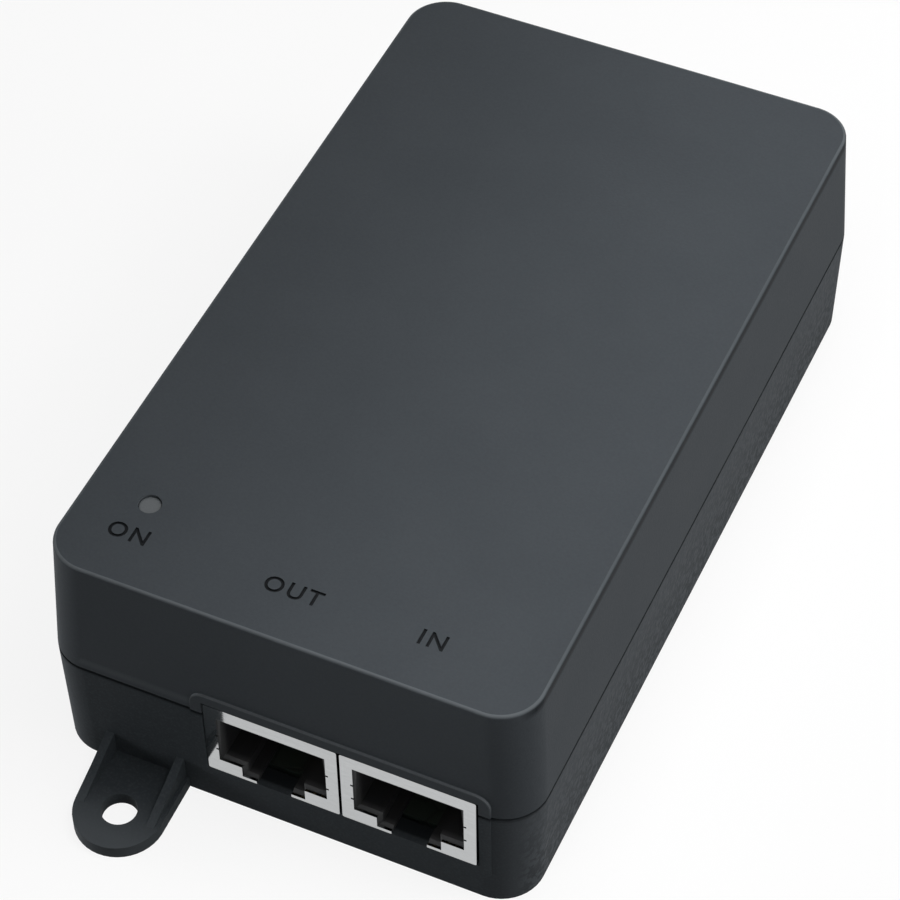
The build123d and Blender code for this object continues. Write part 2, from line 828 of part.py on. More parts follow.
def disc_part(x):
    """A coated disc standing on two legs, with its flat faces along X."""
    middle_z = board_top + disc_lift + disc_radius
    disc = Pos(x, rear_row_y, middle_z) * Rot(0, 90, 0) * Cylinder(disc_radius, disc_thickness)
    disc = fillet(disc.edges(), disc_thickness / 4)
    legs = [lead(x, rear_row_y + side * disc_radius * 0.6, middle_z) for side in (-1, 1)]
    return join([disc] + legs)


def make_fuse():
    """A small wire-ended fuse lying along the board, at the end of the rear row."""
    middle_z = board_top + fuse_radius + fuse_cap_step
    turned = Pos(fuse_x, rear_row_y, middle_z) * Rot(90, 0, 0)
    body = turned * Cylinder(fuse_radius, fuse_length)
    parts = [body]
    for side in (-1, 1):
        cap_y = side * (fuse_length - fuse_cap_length) / 2
        parts.append(turned * Pos(0, 0, cap_y) * Cylinder(fuse_radius + fuse_cap_step, fuse_cap_length))
        leg_y = rear_row_y + side * (fuse_length / 2 + 2 * lead_radius)
        wire_span = sorted((rear_row_y + side * fuse_length / 2, leg_y + side * lead_radius))
        parts.append(block(around(fuse_x, 2 * lead_radius), wire_span, around(middle_z, 2 * lead_radius)))
        parts.append(lead(fuse_x, leg_y, middle_z))
    return join(parts)


def make_bridge_rectifier():
    """The flat bridge rectifier, standing on its four legs beside the inlet."""
    low = board_top + bridge_lift
    height_span = (low, low + bridge_height)
    body = block(around(bridge_x, bridge_thickness), around(bridge_y, bridge_length), height_span)
    pitch = bridge_length / 4
    legs = [lead(bridge_x, bridge_y + (index - 1.5) * pitch, low + 1) for index in range(4)]
    return join([body] + legs)


# ---------------------------------------------------------------- capacitors with sleeves
def capacitor_can(x, y, radius, height):
    """The metal can of an electrolytic capacitor, inside its sleeve, with two leads."""
    can_radius = radius - sleeve_thickness - sleeve_gap
    can = rod(x, y, can_radius, board_top, board_top + height - sleeve_thickness)
    groove_low = board_top + can_groove_rise
    groove = rod(x, y, can_radius + can_groove_depth, groove_low, groove_low + can_groove_height)
    groove = groove - rod(x, y, can_radius - can_groove_depth, board_top, groove_low + 2 * can_groove_height)
    legs = [lead(x + side * radius * 0.45, y, board_top) for side in (-1, 1)]
    return join([can - groove] + legs)


def capacitor_sleeve(x, y, radius, height):
    """The plastic sleeve shrunk round a capacitor's can, turned in over its top."""
    outer = rod(x, y, radius, board_top, board_top + height)
    bore = rod(x, y, radius - sleeve_thickness, board_top - 1, board_top + height - sleeve_thickness)
    top_hole = rod(x, y, radius - sleeve_thickness - sleeve_lip, board_top, board_top + height + 1)
    return cut(outer, [bore, top_hole])


# ---------------------------------------------------------------- transformer
core_low = board_top + bobbin_gap
core_shelf = core_low + core_back
core_mid = core_shelf + core_window_height / 2
core_high = core_shelf + core_window_height + core_back
leg_gap_x = core_width - 2 * core_leg - 2 * bobbin_gap
tube_x = core_centre_leg + 2 * bobbin_gap + 2 * bobbin_wall
tube_y = core_depth + 2 * bobbin_gap + 2 * bobbin_wall


def make_transformer_core():
    """Two ferrite halves, each a back with three legs, meeting at mid-height."""
    halves = []
    for low, high in ((core_low, core_mid), (core_mid, core_high)):
        whole = block(around(core_x, core_width), around(mid_row_y, core_depth), (low, high))
        for side in (-1, 1):
            inner = core_centre_leg / 2
            outer = core_width / 2 - core_leg
            span = sorted((core_x + side * inner, core_x + side * outer))
            whole = whole - block(span, around(mid_row_y, core_depth + 2), (core_shelf, core_high - core_back))
        halves.append(whole)
    return halves


def make_transformer_bobbin():
    """The bobbin: a tube round the middle leg, a flange at each end and two rails with pins."""
    depth = around(mid_row_y, bobbin_depth)
    flange_x = around(core_x, leg_gap_x)
    low_flange = block(flange_x, depth, (core_shelf, core_shelf + bobbin_wall))
    high_flange = block(flange_x, depth, (core_high - core_back - bobbin_wall, core_high - core_back))
    tube = block(around(core_x, tube_x), around(mid_row_y, tube_y), (core_shelf, core_high - core_back))
    parts = [low_flange, high_flange, tube]
    for side in (-1, 1):
        outer = mid_row_y + side * bobbin_depth / 2
        inner = outer - side * bobbin_rail
        parts.append(block(flange_x, sorted((outer, inner)), (board_top, core_shelf)))
        for index in range(4):
            pin_x = core_x + (index - 1.5) * leg_gap_x / 4
            parts.append(lead(pin_x, (outer + inner) / 2, board_top))
    hole_x = around(core_x, core_centre_leg + 2 * bobbin_gap)
    hole_y = around(mid_row_y, core_depth + 2 * bobbin_gap)
    return join(parts) - block(hole_x, hole_y, (core_shelf - 1, core_high))


def wound_ring(low_inset, high_inset):
    """A layer round the bobbin's tube, between two distances in from the flange's edge."""
    span_z = (core_shelf + bobbin_wall, core_high - core_back - bobbin_wall)
    outer = block(
        around(core_x, leg_gap_x - 2 * low_inset), around(mid_row_y, bobbin_depth - 2 * low_inset), span_z
    )
    if high_inset is None:
        return outer - block(around(core_x, tube_x), around(mid_row_y, tube_y), span_z)
    inner = block(
        around(core_x, leg_gap_x - 2 * high_inset), around(mid_row_y, bobbin_depth - 2 * high_inset), span_z
    )
    return outer - inner


# ---------------------------------------------------------------- semiconductors on heatsinks
def power_device(leg_points):
    """A three-legged power device standing up, its tab's back on the plane Y = 0 and its middle on X = 0."""
    low = board_top + transistor_lift
    tab = block(
        around(0, transistor_width), (-transistor_tab_thickness, 0), (low, low + transistor_tab_height)
    )
    body = block(around(0, transistor_width), (-transistor_thickness, 0), (low, low + transistor_body_height))
    hole_z = low + (transistor_body_height + transistor_tab_height) / 2
    hole = Pos(0, 0, hole_z) * Rot(90, 0, 0) * Cylinder(transistor_hole_radius, 4 * transistor_thickness)
    legs = [rod(x, y, lead_radius, tail_end, low + 1) for x, y in leg_points]
    return join([tab - hole, body] + legs)


def sink_plate(length):
    """A heatsink plate standing up behind the plane Y = 0, with its top bent over the device."""
    fold = board_top + transistor_lift + transistor_tab_height + sink_head_gap
    plate = block(around(0, length), (0, sink_thickness), (board_top, fold + sink_thickness))
    lip = block(around(0, length), (-sink_lip, sink_thickness), (fold, fold + sink_thickness))
    hole_z = tab_hole_height()
    hole = Pos(0, 0, hole_z) * Rot(90, 0, 0) * Cylinder(sink_screw_radius + screw_gap, 4 * sink_thickness)
    return plate + lip - hole


def tab_hole_height():
    """The height of the hole in a power device's tab."""
    return board_top + transistor_lift + (transistor_body_height + transistor_tab_height) / 2


def tab_pad():
    """The insulating pad between a device and its heatsink, in front of the plane Y = 0."""
    low = board_top + transistor_lift
    pad = block(around(0, transistor_width), (-pad_thickness, 0), (low, low + transistor_tab_height))
    hole = Cylinder(sink_screw_radius + screw_gap, 4 * pad_thickness)
    return pad - Pos(0, 0, tab_hole_height()) * Rot(90, 0, 0) * hole


def tab_screw():
    """The screw that clamps a device's tab to its heatsink."""
    face = -pad_thickness - transistor_tab_thickness
    length = transistor_tab_thickness + pad_thickness + sink_thickness + sink_screw_extra
    turned = Pos(0, 0, tab_hole_height()) * Rot(90, 0, 0)
    head = turned * Pos(0, 0, -face + sink_screw_head_height / 2)
    head = head * Cylinder(sink_screw_head_radius, sink_screw_head_height)
    shank = turned * Pos(0, 0, -face - length / 2) * Cylinder(sink_screw_radius, length)
    return head + shank


device_legs = [((index - 1) * transistor_leg_pitch, -transistor_thickness / 2) for index in range(3)]
primary_frame = Pos(primary_sink_x - sink_thickness / 2, mid_row_y, 0) * Rot(0, 0, -90)
secondary_sink_y = output_row_y + output_row_depth / 2 - sink_thickness
secondary_frame = Pos(secondary_sink_x, secondary_sink_y, 0)


def place_device(frame):
    """A power device in its frame, held off the heatsink by its pad, with its lead holes noted."""
    device = frame * Pos(0, -pad_thickness, 0) * power_device(device_legs)
    for x, y in device_legs:
        spot = (frame * Pos(x, y - pad_thickness, 0)).position
        through_holes.append((spot.X, spot.Y))
    return device


# ---------------------------------------------------------------- output side parts
def make_inductor_core():
    """The drum core of the output inductor."""
    top = board_top + inductor_height
    low = rod(inductor_x, output_row_y, inductor_radius, board_top, board_top + inductor_flange)
    high = rod(inductor_x, output_row_y, inductor_radius, top - inductor_flange, top)
    neck = rod(inductor_x, output_row_y, inductor_neck, board_top, top)
    legs = [lead(inductor_x + side * inductor_neck, output_row_y, board_top) for side in (-1, 1)]
    return join([low, high, neck] + legs)


def make_inductor_winding():
    """The wire wound on the drum core."""
    span = (board_top + inductor_flange, board_top + inductor_height - inductor_flange)
    outer = rod(inductor_x, output_row_y, inductor_radius - 0.5, *span)
    return outer - rod(inductor_x, output_row_y, inductor_neck, *span)


def make_optocoupler():
    """The optocoupler that carries the feedback across the safety gap."""
    low = board_top + chip_lift * 4
    body = block(around(opto_x, opto_width), around(output_row_y, opto_depth), (low, low + opto_height))
    legs = []
    for side in (-1, 1):
        for row in (-1, 1):
            legs.append(lead(opto_x + side * opto_width / 4, output_row_y + row * opto_depth / 3, low + 1))
    return join([body] + legs)


def flat_chip(x, y, width, depth, height, leg_count):
    """A flat chip with rows of small feet on its two sides along Y."""
    body = block(around(x, width), around(y, depth), (board_top + chip_lift, board_top + chip_lift + height))
    feet = []
    pitch = width / leg_count
    for index in range(leg_count):
        foot_x = x + (index - (leg_count - 1) / 2) * pitch
        feet.append(block(around(foot_x, pitch / 2), around(y, depth + 1.2), (board_top, board_top + 0.3)))
    return join([body] + feet)


def make_small_chips():
    """A column of chip resistors and capacitors beside the sockets."""
    chips = []
    x = socket_xs[0] - socket_width / 2 - part_gap - small_chip_length / 2
    for index in range(small_chip_count):
        y = socket_back - small_chip_width / 2 - index * (small_chip_width + small_chip_gap)
        z_span = (board_top, board_top + small_chip_height)
        chips.append(block(around(x, small_chip_length), around(y, small_chip_width), z_span))
    return chips


port_chip_x = socket_pair_x - magnetics_width / 2 - part_gap - port_chip_size / 2
supply_chip_x = port_chip_x - port_chip_size / 2 - part_gap - supply_chip_width / 2


# ---------------------------------------------------------------- build
for side_name, x in zip(("out", "in"), socket_xs):
    save(f"{side_name}_socket_shield", make_socket_shield(x))
    save(f"{side_name}_socket_housing", make_socket_housing(x))
    save(f"{side_name}_socket_leads", make_socket_leads(x))
    save(f"{side_name}_socket_springs", make_socket_springs(x))

power_blades, earth_blade = blade_places()
save("inlet_housing", make_inlet_housing())
save("inlet_power_blades", [make_blade(x, z) for x, z in power_blades])
save("inlet_earth_blade", make_blade(*earth_blade))
save("x_capacitor", make_x_capacitor())
save("line_choke_core", make_choke_core())
save("line_choke_windings", make_choke_windings())
save("thermistor", disc_part(thermistor_x))
save("y_capacitor", disc_part(y_cap_x))
save("fuse", make_fuse())
save("bridge_rectifier", make_bridge_rectifier())
save("bulk_capacitor_can", capacitor_can(bulk_x, mid_row_y, bulk_radius, bulk_height))
save("bulk_capacitor_sleeve", capacitor_sleeve(bulk_x, mid_row_y, bulk_radius, bulk_height))
output_cap_args = (output_row_y, output_cap_radius, output_cap_height)
save("output_capacitor_cans", [capacitor_can(x, *output_cap_args) for x in output_xs])
save("output_capacitor_sleeves", [capacitor_sleeve(x, *output_cap_args) for x in output_xs])
save("transformer_core", make_transformer_core())
save("transformer_bobbin", make_transformer_bobbin())
save("transformer_windings", wound_ring(winding_margin + tape_thickness, None))
save("transformer_tape", wound_ring(winding_margin, winding_margin + tape_thickness))
save("switch_transistor", place_device(primary_frame))
save("output_diode", place_device(secondary_frame))
save("primary_heatsink", primary_frame * sink_plate(primary_sink_length))
save("secondary_heatsink", secondary_frame * sink_plate(secondary_sink_length))
save("heatsink_pads", [primary_frame * tab_pad(), secondary_frame * tab_pad()])
save("heatsink_screws", [primary_frame * tab_screw(), secondary_frame * tab_screw()])
save("output_inductor_core", make_inductor_core())
save("output_inductor_winding", make_inductor_winding())
save("optocoupler", make_optocoupler())
supply_chip = (supply_chip_width, supply_chip_depth, supply_chip_height, 4)
save("supply_controller", flat_chip(supply_chip_x, front_row_y, *supply_chip))
port_chip = (port_chip_size, port_chip_size, port_chip_height, 8)
save("port_controller", flat_chip(port_chip_x, front_row_y, *port_chip))
magnetics = (magnetics_width, magnetics_depth, magnetics_height, 12)
save("network_transformer", flat_chip(socket_pair_x, front_row_y, *magnetics))
save("chip_parts", make_small_chips())
save("power_led", make_power_led())
save("led_light_pipe", make_light_pipe())
save("main_board", make_main_board())
save("insulation_sheet", make_insulation_sheet())
save("board_screws", make_board_screws())
save("case_screws", make_case_screws())
save("rating_label", make_rating_label())
save("bottom_case", make_bottom_case())
save("top_cover", make_top_cover())
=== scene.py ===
import json
import logging
import math
from collections.abc import Callable, Sequence
from dataclasses import dataclass, replace
from enum import Enum
from functools import cache

import bmesh
import bpy
from mathutils import Matrix, Vector

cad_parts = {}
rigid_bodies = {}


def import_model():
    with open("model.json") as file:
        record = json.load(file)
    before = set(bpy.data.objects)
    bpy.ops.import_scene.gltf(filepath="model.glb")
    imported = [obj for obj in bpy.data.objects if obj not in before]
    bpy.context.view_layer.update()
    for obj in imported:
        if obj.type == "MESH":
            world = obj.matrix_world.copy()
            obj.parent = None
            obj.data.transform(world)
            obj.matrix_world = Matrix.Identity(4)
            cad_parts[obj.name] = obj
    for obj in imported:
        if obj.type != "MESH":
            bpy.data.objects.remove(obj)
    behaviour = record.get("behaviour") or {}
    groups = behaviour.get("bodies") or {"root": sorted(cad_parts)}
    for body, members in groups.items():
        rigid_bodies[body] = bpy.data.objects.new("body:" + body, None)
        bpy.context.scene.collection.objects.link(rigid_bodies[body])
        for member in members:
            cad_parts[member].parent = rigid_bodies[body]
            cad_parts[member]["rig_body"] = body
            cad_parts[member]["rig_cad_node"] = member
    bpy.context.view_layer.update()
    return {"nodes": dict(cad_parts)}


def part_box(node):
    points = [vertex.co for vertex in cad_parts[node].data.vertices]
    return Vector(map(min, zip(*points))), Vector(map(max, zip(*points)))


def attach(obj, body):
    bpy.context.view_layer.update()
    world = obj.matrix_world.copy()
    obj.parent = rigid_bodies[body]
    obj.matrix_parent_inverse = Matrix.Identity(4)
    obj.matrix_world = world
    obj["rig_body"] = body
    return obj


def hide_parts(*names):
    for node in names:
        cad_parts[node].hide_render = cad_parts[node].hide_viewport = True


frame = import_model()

MM = 0.001
TOUCHING = 0.01 * MM  # nearer than this, two places are the same
STRAIGHT = 0.9  # from this on, a part of a unit vector counts as lying along an axis
LOG = logging.getLogger("injector")
Colour = tuple[float, float, float]
Socket = bpy.types.NodeSocket
Value = Socket | float | Sequence[float]
Tones = tuple[Socket, Socket, Socket]
Test = Callable[[Vector, Vector], bool]


def mm(*values: float) -> Vector:
    """A vector in metres from three values in millimetres."""
    return Vector(values) * MM


def everywhere(place: Vector, way: Vector) -> bool:
    """Says yes to every part of a mesh."""
    return True


def clear_selection() -> None:
    """Leaves nothing selected, in object mode."""
    if bpy.context.object and bpy.context.object.mode != "OBJECT":
        bpy.ops.object.mode_set(mode="OBJECT")
    for thing in bpy.context.selected_objects:
        thing.select_set(False)


def copy_of(thing: bpy.types.Object) -> bpy.types.Object:
    """Copies an object together with its mesh.

    Args:
        thing: The object.

    Returns:
        The copy, in the scene.
    """
    made = thing.copy()
    made.data = thing.data.copy()
    bpy.context.scene.collection.objects.link(made)
    return made


class Pick(Enum):
    """What a choice in edit mode takes hold of."""

    POINTS = "VERT"
    EDGES = "EDGE"
    FACES = "FACE"


# ---------------- pieces on the bench
class Workpiece:
    """A piece being shaped: a mesh object worked on step by step with the modelling operators."""

    CAPITALS = 0.7
    LETTER_PITCH = 1.22
    SHARP_ANGLE = math.radians(35.0)

    def __init__(self, thing: bpy.types.Object, name: str) -> None:
        """Takes hold of a new mesh object and names it and its mesh."""
        self.thing = thing
        thing.name = thing.data.name = name

    @classmethod
    def settled(cls, name: str) -> "Workpiece":
        """Takes the object just added, with its place and scale made part of its mesh."""
        bpy.ops.object.transform_apply()
        return cls(bpy.context.object, name)

    @classmethod
    def block(cls, name: str, low: Vector, high: Vector) -> "Workpiece":
        """Starts from a cube stretched between two corners.

        Args:
            name: The piece's name.
            low: Its lowest corner.
            high: Its highest corner.

        Returns:
            The piece, in place.
        """
        clear_selection()
        bpy.ops.mesh.primitive_cube_add(size=1.0, location=(low + high) / 2)
        bpy.context.object.scale = high - low
        return cls.settled(name)

    @classmethod
    def rod(cls, name: str, middle: Vector, radius: float, length: float, sides: int) -> "Workpiece":
        """Starts from an upright cylinder.

        Args:
            name: The piece's name.
            middle: The middle of the cylinder.
            radius: Its radius.
            length: Its length.
            sides: How many sides it has.

        Returns:
            The piece, in place.
        """
        clear_selection()
        bpy.ops.mesh.primitive_cylinder_add(vertices=sides, radius=radius, depth=length, location=middle)
        return cls.settled(name)

    @classmethod
    def strip(cls, name: str, width: float, path: Sequence[Vector], thickness: float) -> "Workpiece":
        """Bends a strip of sheet along a path in Y and Z: an edge is carried from point to point.

        Args:
            name: The piece's name.
            width: The strip's width along X.
            path: The points its middle passes.
            thickness: The sheet's thickness, half to each side of the path.

        Returns:
            The bent strip.
        """
        clear_selection()
        start = path[0]
        bpy.ops.mesh.primitive_plane_add(size=1.0, location=start)
        bpy.context.object.scale = (width, width, 1.0)
        piece = cls.settled(name)
        piece.choose(Pick.POINTS, lambda place, normal: place.y > start.y)
        bpy.ops.mesh.delete(type="VERT")
        piece.choose(Pick.EDGES)
        bpy.ops.transform.translate(value=(0.0, width / 2, 0.0))
        for here, there in zip(path, path[1:]):
            bpy.ops.mesh.extrude_region_move(TRANSFORM_OT_translate={"value": there - here})
        piece.tidy_normals()
        return piece.modify("SOLIDIFY", thickness=thickness, offset=0.0, use_even_offset=True)

    @classmethod
    def words(cls, text: str, middle: Vector, height: float, depth: float, weight: float) -> "Workpiece":
        """Makes a word as a solid cutter that stands on the XY plane.

        Args:
            text: The word.
            middle: The middle of the word.
            height: The height of its capitals.
            depth: How far it reaches up and down from the middle.
            weight: How much its strokes are thickened.

        Returns:
            The word as a mesh.
        """
        clear_selection()
        bpy.ops.object.text_add(location=(0.0, 0.0, 0.0))
        writing = bpy.context.object.data
        writing.body = text
        writing.align_x = "CENTER"
        writing.align_y = "CENTER"
        writing.size = height / cls.CAPITALS
        writing.space_character = cls.LETTER_PITCH
        writing.offset = weight
        writing.extrude = depth
        writing.resolution_u = 4
        bpy.ops.object.convert(target="MESH")
        piece = cls(bpy.context.object, "word")
        piece.choose(Pick.POINTS)
        bpy.ops.mesh.remove_doubles(threshold=0.002 * MM)
        piece.rest()
        piece.thing.location = middle
        bpy.ops.object.transform_apply()
        return piece

    @classmethod
    def of_node(cls, node: str, name: str) -> "Workpiece":
        """Starts from a merged copy of a CAD node.

        Args:
            node: The node's name.
            name: The new piece's name.

        Returns:
            The copy, with its flat faces whole again.
        """
        clear_selection()
        thing = copy_of(frame["nodes"][node])
        thing.parent = None
        thing.matrix_world = Matrix.Identity(4)
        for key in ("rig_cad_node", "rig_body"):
            if key in thing:
                del thing[key]
        thing.data.materials.clear()
        piece = cls(thing, name).hold()
        bpy.ops.mesh.customdata_custom_splitnormals_clear()
        piece.choose(Pick.POINTS)
        bpy.ops.mesh.remove_doubles(threshold=0.001 * MM)
        bpy.ops.mesh.select_all(action="SELECT")
        bpy.ops.mesh.dissolve_limited(angle_limit=math.radians(0.2))
        return piece.tidy_normals()

    def hold(self) -> "Workpiece":
        """Makes this the one selected and active object.

        Returns:
            This piece.
        """
        clear_selection()
        bpy.context.view_layer.objects.active = self.thing
        self.thing.select_set(True)
        return self

    def rest(self) -> "Workpiece":
        """Goes back to object mode.

        Returns:
            This piece.
        """
        if self.thing.mode != "OBJECT":
            bpy.ops.object.mode_set(mode="OBJECT")
        return self

    def choose(self, kind: Pick, test: Test = everywhere) -> int:
        """Selects parts of the mesh in edit mode, and nothing else.

        Args:
            kind: Points, edges or faces.
            test: Says yes or no to the middle and the normal of a face, the middle and the direction of
                an edge, or the place and the normal of a point.

        Returns:
            How many were selected.
        """
        if self.thing.mode != "EDIT":
            self.hold()
            bpy.ops.object.mode_set(mode="EDIT")
        bpy.ops.mesh.select_mode(type=kind.value)
        bpy.ops.mesh.select_all(action="DESELECT")
        shape = bmesh.from_edit_mesh(self.thing.data)
        shape.normal_update()
        if kind is Pick.FACES:
            found = [face for face in shape.faces if test(face.calc_center_median(), face.normal)]
        elif kind is Pick.EDGES:
            ends = [(edge, edge.verts[0].co, edge.verts[1].co) for edge in shape.edges]
            found = [edge for edge, one, two in ends if test((one + two) / 2, (two - one).normalized())]
        else:
            found = [point for point in shape.verts if test(point.co, point.normal)]
        for part in found:
            part.select_set(True)
        bmesh.update_edit_mesh(self.thing.data)
        return len(found)

    def tidy_normals(self) -> "Workpiece":
        """Turns every face outwards.

        Returns:
            This piece.
        """
        self.choose(Pick.FACES)
        bpy.ops.mesh.normals_make_consistent(inside=False)
        return self.rest()

    def split(self, places: Sequence[float], direction: Vector, test: Test) -> None:
        """Cuts new edges across chosen faces, once at each distance along a direction.

        Args:
            places: Distances from the origin.
            direction: The normal of the cutting planes.
            test: Says yes or no to a face's middle and normal.
        """
        for place in places:
            self.choose(Pick.FACES, test)
            bpy.ops.mesh.bisect(plane_co=direction * place, plane_no=direction)

    def round_edges(self, width: float, segments: int, test: Test) -> "Workpiece":
        """Rounds chosen edges.

        Args:
            width: The rounding's width.
            segments: How many facets it gets.
            test: Says yes or no to an edge's middle and direction.

        Returns:
            This piece.
        """
        if self.choose(Pick.EDGES, test):
            bpy.ops.mesh.bevel(offset=width, segments=segments, profile=0.5, affect="EDGES")
        return self.rest()

    def modify(self, kind: str, **settings: object) -> "Workpiece":
        """Adds a modifier, sets it up and applies it.

        Args:
            kind: The modifier's type.
            **settings: Its settings by name.

        Returns:
            This piece.
        """
        self.rest().hold()
        added = self.thing.modifiers.new(kind.title(), kind)
        for key, value in settings.items():
            setattr(added, key, value)
        bpy.ops.object.modifier_apply(modifier=added.name)
        return self

    def carve(self, cutter: "Workpiece") -> None:
        """Cuts another piece out of this one and uses it up.

        Args:
            cutter: The other piece.
        """
        self.modify("BOOLEAN", object=cutter.thing, solver="EXACT", material_mode="TRANSFER")
        bpy.data.objects.remove(cutter.thing)

    def copy(self, name: str, shift: Vector) -> "Workpiece":
        """Makes a second piece like this one, moved, with its own mesh.

        Args:
            name: The second piece's name.
            shift: How far it is moved.

        Returns:
            The second piece.
        """
        thing = copy_of(self.rest().thing)
        thing.data.transform(Matrix.Translation(shift))
        return Workpiece(thing, name)

    def absorb(self, others: Sequence["Workpiece"]) -> None:
        """Joins other pieces into this one.

        Args:
            others: The other pieces.
        """
        self.rest().hold()
        for other in others:
            other.thing.select_set(True)
        bpy.ops.object.join()

    def paint(self, material: bpy.types.Material) -> "Workpiece":
        """Gives the whole piece one material.

        Args:
            material: The material.

        Returns:
            This piece.
        """
        self.thing.data.materials.clear()
        self.thing.data.materials.append(material)
        return self

    def fit(self, body: str, slot: str, *nodes: str) -> None:
        """Shades the finished piece and fixes it to its body.

        Args:
            body: The body it moves with.
            slot: The name of a material slot; not used.
            *nodes: The CAD nodes it stands for.
        """
        self.rest().hold()
        bpy.ops.object.shade_smooth_by_angle(angle=self.SHARP_ANGLE)
        self.modify("WEIGHTED_NORMAL", keep_sharp=True, weight=100)
        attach(self.thing, body)
        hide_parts(*nodes)
        LOG.info("%s: %d faces on %s", self.thing.name, len(self.thing.data.polygons), body)


# ---------------- node trees
class Wiring:
    """A node tree being wired up."""

    def __init__(self, tree: bpy.types.NodeTree) -> None:
        """Takes hold of a tree."""
        self.tree = tree

    def feed(self, target: Socket, value: Value) -> None:
        """Links an output to an input, or sets the input to a plain value.

        Args:
            target: The input.
            value: The output or the plain value.
        """
        if isinstance(value, Socket):
            self.tree.links.new(value, target)
        else:
            target.default_value = value

    def fill(self, node: bpy.types.Node, *values: Value, **settings: object) -> bpy.types.Node:
        """Sets up a node.

        Args:
            node: The node.
            *values: What its first inputs get.
            **settings: Its properties, or what inputs get for names that are not properties.

        Returns:
            The node.
        """
        for key, value in settings.items():
            if hasattr(node, key):
                setattr(node, key, value)
            else:
                self.feed(node.inputs[key.replace("_", " ")], value)
        for socket, value in zip(node.inputs, values):
            self.feed(socket, value)
        return node

    def node(self, kind: str, *values: Value, **settings: object) -> bpy.types.Node:
        """Adds a node and sets it up.

        Args:
            kind: The node's type, without its ShaderNode prefix.
            *values: What its first inputs get.
            **settings: Its properties and other inputs.

        Returns:
            The new node.
        """
        made = self.tree.nodes.new(kind if kind.startswith("NodeGroup") else "ShaderNode" + kind)
        return self.fill(made, *values, **settings)

    def sum(self, operation: str, *values: Value) -> Socket:
        """The output of a new Math node for an operation on values."""
        return self.node("Math", *values, operation=operation).outputs[0]

    def product(self, first: Socket, *others: Value) -> Socket:
        """Multiplies values.

        Args:
            first: The first of them.
            *others: The others.

        Returns:
            The product.
        """
        for other in others:
            first = self.sum("MULTIPLY", first, other)
        return first

    def blend(self, first: Socket, share: float, second: Socket) -> Socket:
        """The first value by its share, and the second by what is left."""
        return self.sum("ADD", self.product(first, share), self.product(second, 1.0 - share))

    def span(self, value: Socket, start: float, end: float, first: float = 0.0, last: float = 1.0) -> Socket:
        """A mask that goes from a first to a last level while a value goes from a start to an end."""
        return self.node("MapRange", value, start, end, first, last).outputs[0]

    def pattern(self, pattern: "Pattern", size: float, stretch: Colour) -> bpy.types.NodeOutputs:
        """The outputs of a pattern at a grain size in millimetres."""
        return self.node("Group", node_tree=group_of(pattern), Size=size * MM, Stretch=stretch).outputs

    def place(self) -> Socket:
        """The place on the object, as a vector."""
        return self.node("TexCoord").outputs["Object"]

    def spot(self) -> Tones:
        """The place on the object, as its X, Y and Z."""
        parts = self.node("SeparateXYZ", self.place())
        return parts.outputs[0], parts.outputs[1], parts.outputs[2]

    def reach(self, axis: int) -> Socket:
        """How far the place lies from the object's middle along X (0) or Y (1)."""
        return self.sum("ABSOLUTE", self.spot()[axis])

    def mixed(self, mask: Socket, first: Socket | Colour, second: Colour) -> Socket:
        """Turns a colour into another where a mask is 1.

        Args:
            mask: The mask.
            first: The colour where it is 0.
            second: The colour where it is 1.

        Returns:
            The mixed colour.
        """
        mix = self.node("Mix", mask, data_type="RGBA")
        inputs = [socket for socket in mix.inputs if socket.type == "RGBA"]
        for socket, colour in zip(inputs, (first, second)):
            self.feed(socket, colour if isinstance(colour, Socket) else (*colour, 1.0))
        return next(socket for socket in mix.outputs if socket.type == "RGBA")


class Pattern(Enum):
    """The surface patterns that finishes are made of."""

    MOULDED = "moulded grain"
    ETCHED = "etched grain"
    BRUSHED = "brushed lines"
    WOUND = "wound turns"
    SPECKLED = "speckle"
    TRACKED = "board tracks"
    FIBROUS = "fibres"


